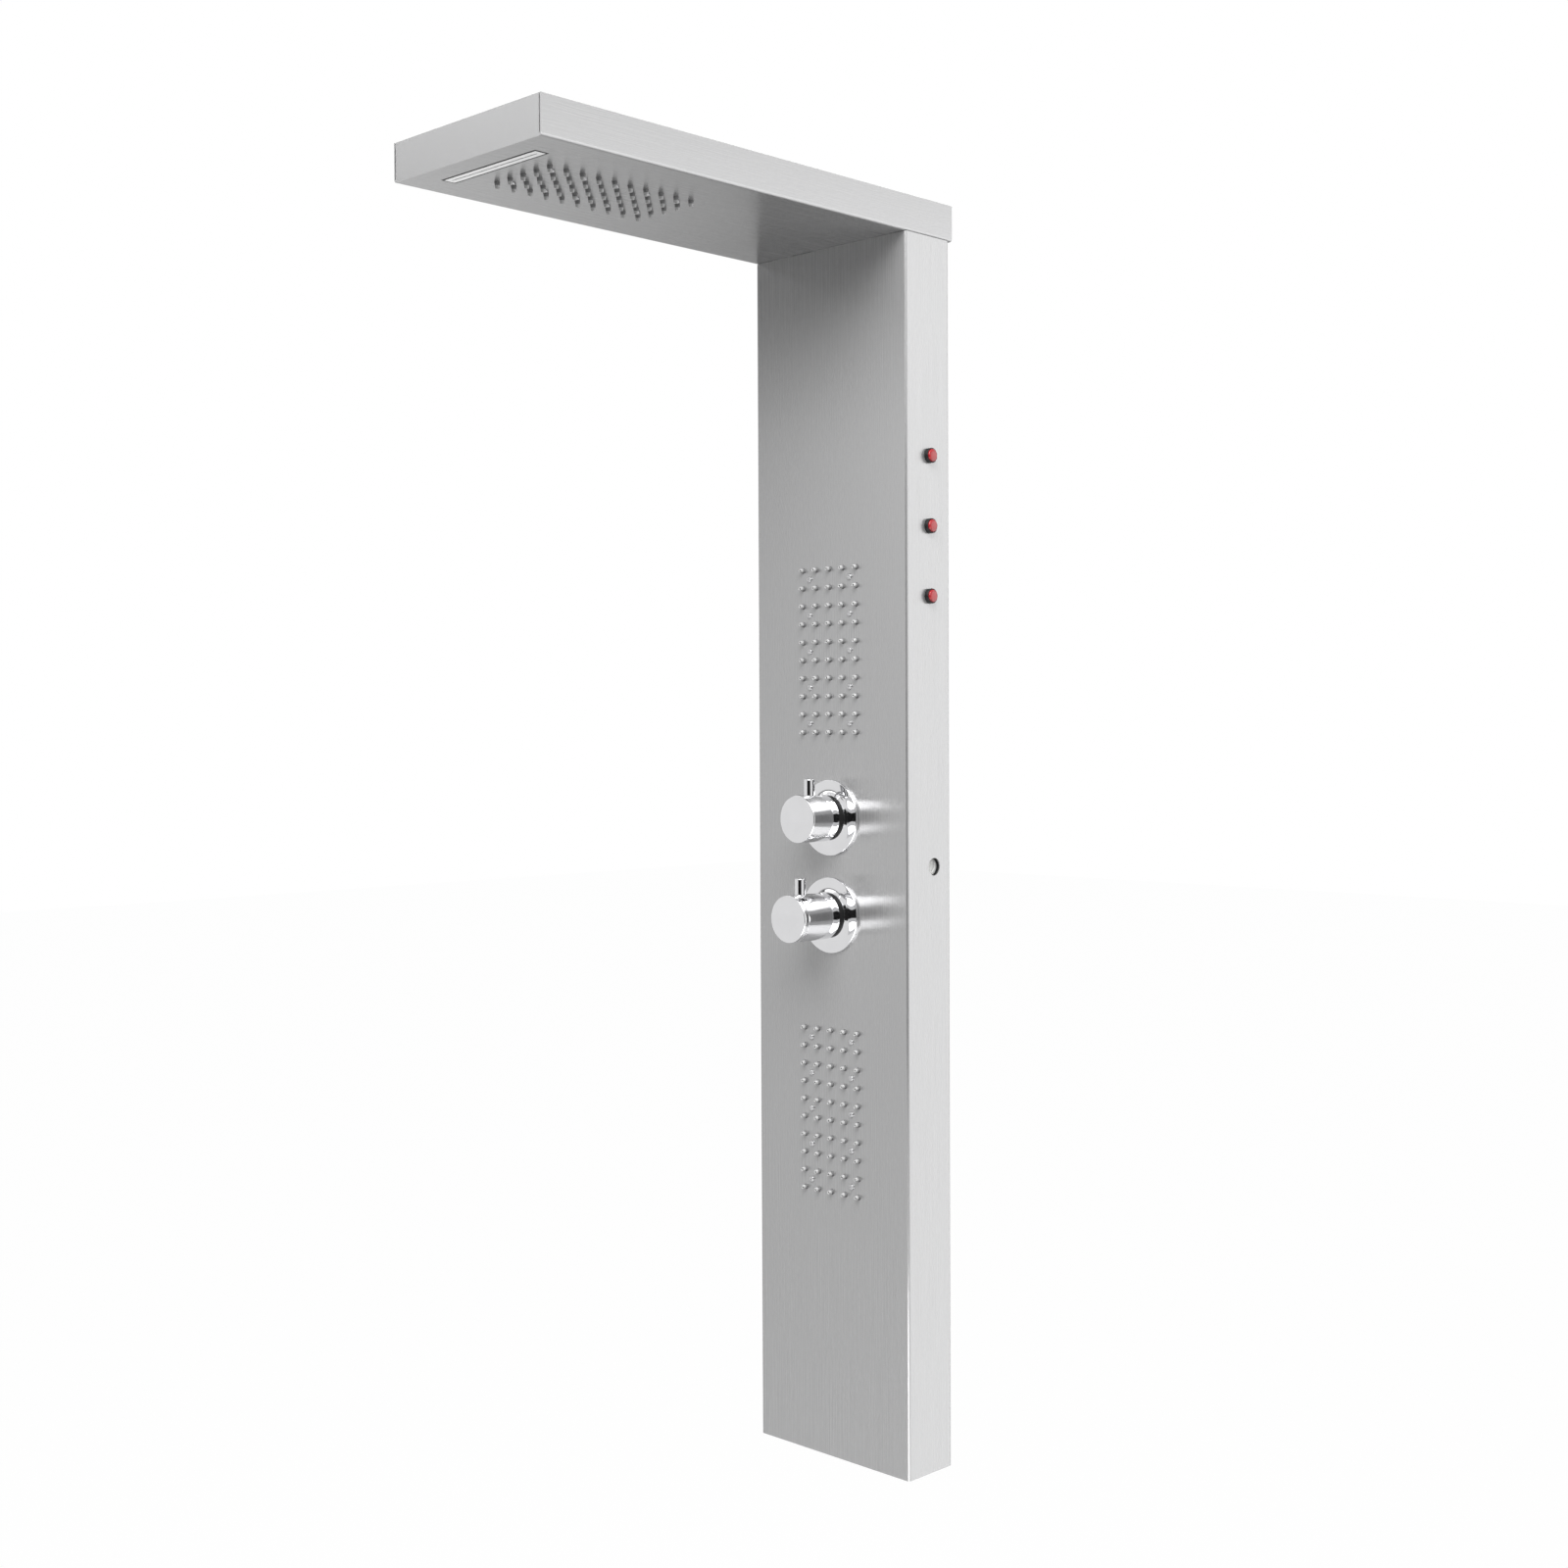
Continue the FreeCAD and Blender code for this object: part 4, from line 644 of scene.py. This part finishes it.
class SHOWER_OT_knobs(bpy.types.Operator):
    """Turn the knobs, their lever pins and the covers behind them"""
    bl_idname = "shower.knobs"
    bl_label = "Knobs"

    def execute(self, context):
        knob = context.scene.shower_knobs
        chrome = grained_finish("polished_chrome", knob.chrome, roughness=0.05, grain=even(60), shade=0.02,
                                spread=0.02, bump=0.01, metallic=1.0)
        # Near-black finish on the gap rings, painted shadow in the gap behind each knob
        ring = grained_finish("painted_gap_shadow_ring", knob.ring, roughness=0.55, grain=even(400), specular=0.2)
        wear(["flow_gap_ring", "mixer_gap_ring"], ring)
        for name in ("flow", "mixer"):
            centre = Vector((0, PANEL_FRONT, middle(name + "_escutcheon").z))
            self.turn_knob(knob, name, centre, chrome)
            self.turn_pin(knob, name, centre.z, chrome)
            self.turn_cover(knob, name, centre, chrome)
        return {"FINISHED"}

    def turn_knob(self, knob, name, centre, chrome):
        low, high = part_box(name + "_knob")
        front = centre.y - low.y
        back = centre.y - high.y
        radius = (high.x - low.x) / 2
        inside = radius - knob.wall
        crown = front - knob.crown
        outline = [(0, front, 0), (radius, front, knob.edge)]
        if name == "mixer":
            line = front - knob.line_setback
            groove = radius - knob.line
            outline += [(radius, line, FINE_EDGE), (groove, line, 0), (groove, line - knob.line, 0),
                        (radius, line - knob.line, FINE_EDGE)]
        outline += [(radius, back, SOFT_EDGE), (inside, back, SOFT_EDGE), (inside, crown, knob.edge),
                    (knob.hub, crown, knob.edge), (knob.hub, back, SOFT_EDGE), (knob.bore, back, SOFT_EDGE),
                    (knob.bore, crown, 0), (0, crown, 0)]
        placed(spun(outline, centre, OUT_OF_PANEL, KNOB_SIDES), name + "_knob_shell", [chrome],
               name + "_control", [name + "_knob"])

    def turn_pin(self, knob, name, level, chrome):
        low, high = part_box(name + "_knob_pin")
        radius = (high.x - low.x) / 2
        stud = radius / 2
        foot = low.z - level
        top = high.z - level
        outline = [(0, foot, 0), (stud, foot, FINE_EDGE), (stud, knob.hub, 0), (radius, knob.hub, FINE_EDGE),
                   (radius, top - SOFT_EDGE, knob.edge), (0, top, 0)]
        axis = Vector((0, (low.y + high.y) / 2, level))
        placed(spun(outline, axis, UP, PIN_SIDES), name + "_lever_pin", [chrome], name + "_control",
               [name + "_knob_pin"])

    def turn_cover(self, knob, name, centre, chrome):
        low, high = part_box(name + "_escutcheon")
        rise = centre.y - low.y
        outer = (high.x - low.x) / 2
        outline = [(knob.neck, 0, FINE_EDGE), (outer, 0, FINE_EDGE), (outer, knob.rim, knob.rim_edge),
                   (knob.flare, knob.rim, knob.flare_edge), (knob.top, rise, SOFT_EDGE),
                   (knob.neck, rise, FINE_EDGE)]
        placed(spun(outline, centre, OUT_OF_PANEL, KNOB_SIDES, closed=True), name + "_cover", [chrome],
               "column", [name + "_escutcheon"])


def coil(radius, wire, reach, turns, place, way):
    """A wound spring of round wire, from a place along a way."""
    mesh = bmesh.new()
    upright = Matrix.Translation((radius, 0, wire / 2)) @ Matrix.Rotation(math.pi / 2, 4, "X")
    bmesh.ops.create_circle(mesh, cap_ends=False, segments=WIRE_SIDES, radius=wire / 2, matrix=upright)
    steps = COIL_STEPS * turns
    bmesh.ops.spin(mesh, geom=mesh.verts[:] + mesh.edges[:], cent=(0, 0, 0), axis=(0, 0, 1),
                   dvec=(0, 0, (reach - wire) / steps), angle=math.tau * turns, steps=steps,
                   use_merge=False, use_normal_flip=False, use_duplicate=False)
    bmesh.ops.holes_fill(mesh, edges=mesh.edges, sides=WIRE_SIDES)
    bmesh.ops.recalc_face_normals(mesh, faces=mesh.faces)
    return laid(mesh, place, way)


class SHOWER_OT_buttons(bpy.types.Operator):
    """Shape the push buttons with their stems, the bezels round them and the springs behind them"""
    bl_idname = "shower.buttons"
    bl_label = "Push buttons"

    def execute(self, context):
        button = context.scene.shower_buttons
        red = grained_finish("red_plastic", button.cap, roughness=0.28, grain=even(350), shade=0.12,
                             bump=0.04, coat=0.3)
        black = grained_finish("black_plastic", button.bezel, roughness=0.42, grain=even(900), bump=0.15,
                               specular=0.35)
        steel = grained_finish("spring_wire", button.steel, roughness=0.3, grain=even(900), metallic=1.0)
        # The bush's black is partly its own plastic and partly painted shade for the recess wall round the
        # outlet's plug
        wear(["outlet_bush"], black)
        cap_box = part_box("top_button")
        seats = []
        for name in ("top", "middle", "bottom"):
            centre = middle(name + "_button")
            seat = Vector((SIDE_FACE, centre.y, centre.z))
            spring_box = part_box(name + "_button_spring")
            self.shape_cap(button, name, seat, cap_box, spring_box, red)
            self.wind_spring(button, name, seat, spring_box, steel)
            seats.append(seat)
        self.shape_bezels(button, seats, cap_box, black)
        return {"FINISHED"}

    def shape_cap(self, button, name, seat, cap_box, spring_box, red):
        low, high = cap_box
        radius = (high.y - low.y) / 2
        end = low.x - SIDE_FACE
        front = high.x - SIDE_FACE
        stop = spring_box[1].x - SIDE_FACE
        collar = stop + button.collar_width
        shoulder = front - button.dome * button.shoulder_drop
        outline = [(0, end, 0), (button.stem, end, SOFT_EDGE), (button.stem, stop, 0),
                   (button.collar, stop, FINE_EDGE), (button.collar, collar, FINE_EDGE),
                   (button.stem, collar, 0), (button.stem, button.back, 0), (radius, button.back, FINE_EDGE),
                   (radius, front - button.dome, button.dome_edge),
                   (radius * button.shoulder, shoulder, button.dome_edge), (0, front, 0)]
        placed(spun(outline, seat, OUT_OF_SIDE, BUTTON_SIDES), name + "_button_cap", [red], name + "_push",
               [name + "_button"])

    def wind_spring(self, button, name, seat, spring_box, steel):
        low, high = spring_box
        reach = high.x - low.x
        radius = (high.y - low.y - button.wire) / 2
        foot = Vector((low.x, seat.y, seat.z))
        spring = placed(coil(radius, button.wire, reach, button.coils, foot, OUT_OF_SIDE),
                        name + "_return_spring", [steel], "column", [name + "_button_spring"])
        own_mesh(spring)

    def shape_bezels(self, button, seats, cap_box, black):
        low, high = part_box("button_bezels")
        rim = (high.y - low.y) / 2
        front = high.x - SIDE_FACE
        back = low.x - SIDE_FACE
        recess = (cap_box[1].y - cap_box[0].y) / 2 + button.cap_gap
        bore = button.stem + button.stem_gap
        outline = [(bore, back, 0), (button.shank, back, SOFT_EDGE), (button.shank, 0, 0),
                   (rim, 0, FINE_EDGE), (rim, front, 2 * FINE_EDGE), (recess, front, 2 * FINE_EDGE),
                   (recess, button.floor, 0), (bore, button.floor, 0)]
        pattern = spun(outline, (0, 0, 0), OUT_OF_SIDE, BUTTON_SIDES, closed=True)
        placed(copied(pattern, seats), "button_rims", [black], "column", ["button_bezels"])


class SHOWER_OT_outlet(bpy.types.Operator):
    """Shape the pale plug in the hose outlet"""
    bl_idname = "shower.outlet"
    bl_label = "Outlet plug"

    def execute(self, context):
        outlet = context.scene.shower_outlet
        low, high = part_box("outlet_plug")
        radius = (high.z - low.z) / 2
        back = low.x - SIDE_FACE
        front = high.x - SIDE_FACE
        inner = radius - outlet.rim
        outline = [(0, back, 0), (radius, back, FINE_EDGE), (radius, front, SOFT_EDGE),
                   (inner, front, FINE_EDGE), (inner - outlet.dish, front - outlet.dish, FINE_EDGE),
                   (0, front - outlet.dish, 0)]
        seat = (low + high) / 2
        seat.x = SIDE_FACE
        white = bpy.data.materials["white_plastic"]
        placed(spun(outline, seat, OUT_OF_SIDE, PLUG_SIDES), "hose_outlet_plug", [white], "column",
               ["outlet_plug"])
        return {"FINISHED"}


class SHOWER_OT_inner_works(bpy.types.Operator):
    """Finish the brackets, the valves, the manifolds and the pipes"""
    bl_idname = "shower.inner_works"
    bl_label = "Inner works"

    def execute(self, context):
        inner = context.scene.shower_inner
        zinc = grained_finish("galvanised_steel", inner.zinc, roughness=0.42, grain=even(140), shade=0.14,
                              spread=0.1, metallic=0.9)
        wear(["upper_wall_bracket", "lower_wall_bracket", "upper_hanger_bar", "lower_hanger_bar",
              "joint_angle_left", "joint_angle_right", "cover_rail_left", "cover_rail_right"], zinc)
        plain = grained_finish("plain_fastener", inner.plain, roughness=0.28, grain=even(700), metallic=1.0)
        wear(["arm_bolts", "button_nuts"], plain)
        moulded = grained_finish("manifold_plastic", inner.moulded, roughness=0.45, grain=even(320),
                                 shade=0.05, bump=0.12)
        wear(["upper_manifold", "lower_manifold", "rain_manifold", "waterfall_chamber", "selector_block",
              "selector_cover"], moulded)
        brass = grained_finish("cast_brass", inner.brass, roughness=0.38, grain=even(450), shade=0.1,
                               spread=0.1, bump=0.25, metallic=1.0)
        wear(["flow_body", "mixer_body", "hot_inlet_nipple", "cold_inlet_nipple", "flow_spindle",
              "mixer_spindle"], brass)
        pipe = grained_finish("drawn_pipe", inner.pipe, roughness=0.22, grain=even(500), metallic=1.0)
        wear(["mixed_water_pipe", "jet_link_pipe", "riser_pipe", "outlet_pipe", "jet_feed_pipe",
              "waterfall_pipe", "rain_pipe"], pipe)
        cartridge = grained_finish("cartridge_plastic", inner.cartridge, roughness=0.4, grain=even(300))
        wear(["flow_cartridge", "mixer_cartridge"], cartridge)
        return {"FINISHED"}


def camera_matrix(stage):
    """The camera's place and turn, from its stand and its three angles."""
    turn, pitch, roll = stage.turn, stage.pitch, stage.roll
    across = Vector((math.cos(turn), math.sin(turn), 0))
    ahead = Vector((-math.sin(turn) * math.cos(pitch), math.cos(turn) * math.cos(pitch), math.sin(pitch)))
    above = across.cross(ahead)
    side = math.cos(roll) * across + math.sin(roll) * above
    top = math.cos(roll) * above - math.sin(roll) * across
    return Matrix.Translation(stage.stand) @ Matrix((side, top, -ahead)).transposed().to_4x4()


def soft_lamp(name, place, target, size, radiance):
    """A softbox that faces a target, with its brightness per area given."""
    lamp = bpy.data.lights.new(name, "AREA")
    lamp.shape = "RECTANGLE"
    lamp.size, lamp.size_y = size
    lamp.energy = radiance * math.pi * size[0] * size[1]
    holder = bpy.data.objects.new(name, lamp)
    holder.location = place
    holder.rotation_euler = (target - place).to_track_quat("-Z", "Y").to_euler()
    bpy.context.scene.collection.objects.link(holder)


def seen_directly(nodes):
    """A factor of 1 for rays from the camera, from gloss or through glass, and 0 for the rest."""
    path = nodes.add("ShaderNodeLightPath")
    first = nodes.add("ShaderNodeMath", operation="MAXIMUM")
    second = nodes.add("ShaderNodeMath", operation="MAXIMUM")
    nodes.join(path, "Is Camera Ray", first, 0)
    nodes.join(path, "Is Glossy Ray", first, 1)
    nodes.join(first, "Value", second, 0)
    nodes.join(path, "Is Transmission Ray", second, 1)
    return second


def white_surroundings(stage):
    """A world that looks white, and lights the column only as much as the ambient light says."""
    world = bpy.data.worlds.new("studio_white")
    world.use_nodes = True
    bpy.context.scene.world = world
    nodes = Nodes(world.node_tree)
    seen = seen_directly(nodes)
    strength = nodes.add("ShaderNodeMapRange", To_Min=stage.ambient, To_Max=1.0)
    back = nodes.add("ShaderNodeBackground", Color=(1, 1, 1, 1))
    output = nodes.add("ShaderNodeOutputWorld")
    nodes.join(seen, "Value", strength, "Value")
    nodes.join(strength, "Result", back, "Strength")
    nodes.join(back, "Background", output, "Surface")


def stage_sheet(name, size, matrix, material):
    """A flat sheet of the stage, which isn't part of the column."""
    mesh = bmesh.new()
    bmesh.ops.create_grid(mesh, x_segments=1, y_segments=1, size=0.5)
    bmesh.ops.scale(mesh, vec=(*size, 1), verts=mesh.verts)
    bmesh.ops.transform(mesh, matrix=matrix, verts=mesh.verts)
    data = bpy.data.meshes.new(name)
    mesh.to_mesh(data)
    mesh.free()
    data.materials.append(material)
    sheet = bpy.data.objects.new(name, data)
    bpy.context.scene.collection.objects.link(sheet)
    return sheet


def pale_floor(stage):
    """A floor that looks nearly white and keeps a little of the column's shadow."""
    material, nodes = new_material("pale_floor")
    seen = seen_directly(nodes)
    part = nodes.add("ShaderNodeMath", operation="MULTIPLY")
    part.inputs[1].default_value = stage.floor_white
    dull = nodes.add("ShaderNodeBsdfDiffuse", Color=(*stage.floor, 1))
    bright = nodes.add("ShaderNodeEmission", Strength=stage.floor_glow)
    blend = nodes.add("ShaderNodeMixShader")
    surface = nodes.add("ShaderNodeOutputMaterial")
    nodes.join(seen, "Value", part, 0)
    nodes.join(part, "Value", blend, "Fac")
    nodes.join(dull, "BSDF", blend, 1)
    nodes.join(bright, "Emission", blend, 2)
    nodes.join(blend, "Shader", surface, "Surface")
    stage_sheet("floor", stage.floor_span, Matrix.Translation((0, 0, LOW.z - stage.floor_drop)), material)


def mirrored_card(name, place, target, size, ends, axis="Z"):
    """A card that only reflections see, which fades from one brightness to another along an axis."""
    material, nodes = new_material(name)
    position = nodes.add("ShaderNodeTexCoord")
    parts = nodes.add("ShaderNodeSeparateXYZ")
    centre = place["XYZ".index(axis)]
    half = size["XZ".index(axis)] / 2
    glow = nodes.add("ShaderNodeMapRange", From_Min=centre - half, From_Max=centre + half, To_Min=ends[0],
                     To_Max=ends[1])
    light = nodes.add("ShaderNodeEmission")
    surface = nodes.add("ShaderNodeOutputMaterial")
    nodes.join(position, "Object", parts, "Vector")
    nodes.join(parts, axis, glow, "Value")
    nodes.join(glow, "Result", light, "Strength")
    nodes.join(light, "Emission", surface, "Surface")
    facing = (target - place).to_track_quat("-Z", "Y").to_matrix().to_4x4()
    card = stage_sheet(name, size, Matrix.Translation(place) @ facing, material)
    card.visible_camera = False
    card.visible_diffuse = False
    card.visible_shadow = False


class SHOWER_OT_stage(bpy.types.Operator):
    """Set up the camera, the lamps, the white surroundings, the floor and the cards"""
    bl_idname = "shower.stage"
    bl_label = "Stage"

    def execute(self, context):
        scene = context.scene
        stage = scene.shower_stage
        lens = bpy.data.cameras.new("camera")
        lens.lens = stage.lens
        lens.sensor_width = SENSOR_WIDTH
        camera = bpy.data.objects.new("camera", lens)
        camera.matrix_world = camera_matrix(stage)
        scene.collection.objects.link(camera)
        scene.camera = camera
        scene.view_settings.view_transform = "Standard"
        white_surroundings(stage)
        pale_floor(stage)
        knobs = middle("flow_knob")
        arm_end = Vector((0, LOW.y, HIGH.z))
        soft_lamp("key_softbox", stage.key_place, knobs, stage.key_size, stage.key_lamp)
        soft_lamp("side_softbox", stage.side_place, knobs, stage.side_size, stage.side_lamp)
        soft_lamp("end_strip", stage.end_place, arm_end, stage.end_size, stage.end_lamp)
        panel = Vector((0, PANEL_FRONT, stage.top_place.z))
        wall = Vector((stage.back_place.x, 0, stage.back_place.z))
        mirrored_card("low_card", stage.low_place, knobs, stage.low_size, stage.low_fade)
        mirrored_card("front_card", knobs + stage.front_place, knobs, stage.front_size, stage.front_fade)
        mirrored_card("top_card", stage.top_place, panel, stage.top_size, stage.top_fade)
        mirrored_card("back_card", stage.back_place, wall, stage.back_size, stage.back_fade, axis="X")
        return {"FINISHED"}


class SHOWER_PT_pieces(bpy.types.Panel):
    """The column's pieces and stage"""
    bl_idname = "SHOWER_PT_pieces"
    bl_label = "Shower column"
    bl_space_type = "VIEW_3D"
    bl_region_type = "UI"
    bl_category = "Shower"

    def draw(self, context):
        for operator in OPERATORS:
            self.layout.operator(operator.bl_idname)


SETTINGS = {
    "shower_steel": SteelSettings,
    "shower_jets": JetSettings,
    "shower_screws": ScrewSettings,
    "shower_waterfall": WaterfallSettings,
    "shower_knobs": KnobSettings,
    "shower_buttons": ButtonSettings,
    "shower_outlet": OutletSettings,
    "shower_inner": InnerSettings,
    "shower_stage": StageSettings,
}
OPERATORS = [
    SHOWER_OT_steel,
    SHOWER_OT_jets,
    SHOWER_OT_screws,
    SHOWER_OT_waterfall,
    SHOWER_OT_knobs,
    SHOWER_OT_buttons,
    SHOWER_OT_outlet,
    SHOWER_OT_inner_works,
    SHOWER_OT_stage,
]


def register():
    for item in [*SETTINGS.values(), *OPERATORS, SHOWER_PT_pieces]:
        bpy.utils.register_class(item)
    for name, group in SETTINGS.items():
        setattr(bpy.types.Scene, name, PointerProperty(type=group))


def unregister():
    for name in SETTINGS:
        delattr(bpy.types.Scene, name)
    for item in [SHOWER_PT_pieces, *reversed(OPERATORS), *reversed(SETTINGS.values())]:
        bpy.utils.unregister_class(item)


def main():
    register()
    bpy.ops.shower.steel()
    bpy.ops.shower.jets()
    bpy.ops.shower.screws()
    bpy.ops.shower.waterfall()
    bpy.ops.shower.knobs()
    bpy.ops.shower.buttons()
    bpy.ops.shower.outlet()
    bpy.ops.shower.inner_works()
    bpy.ops.shower.stage()


if __name__ == "__main__":
    main()
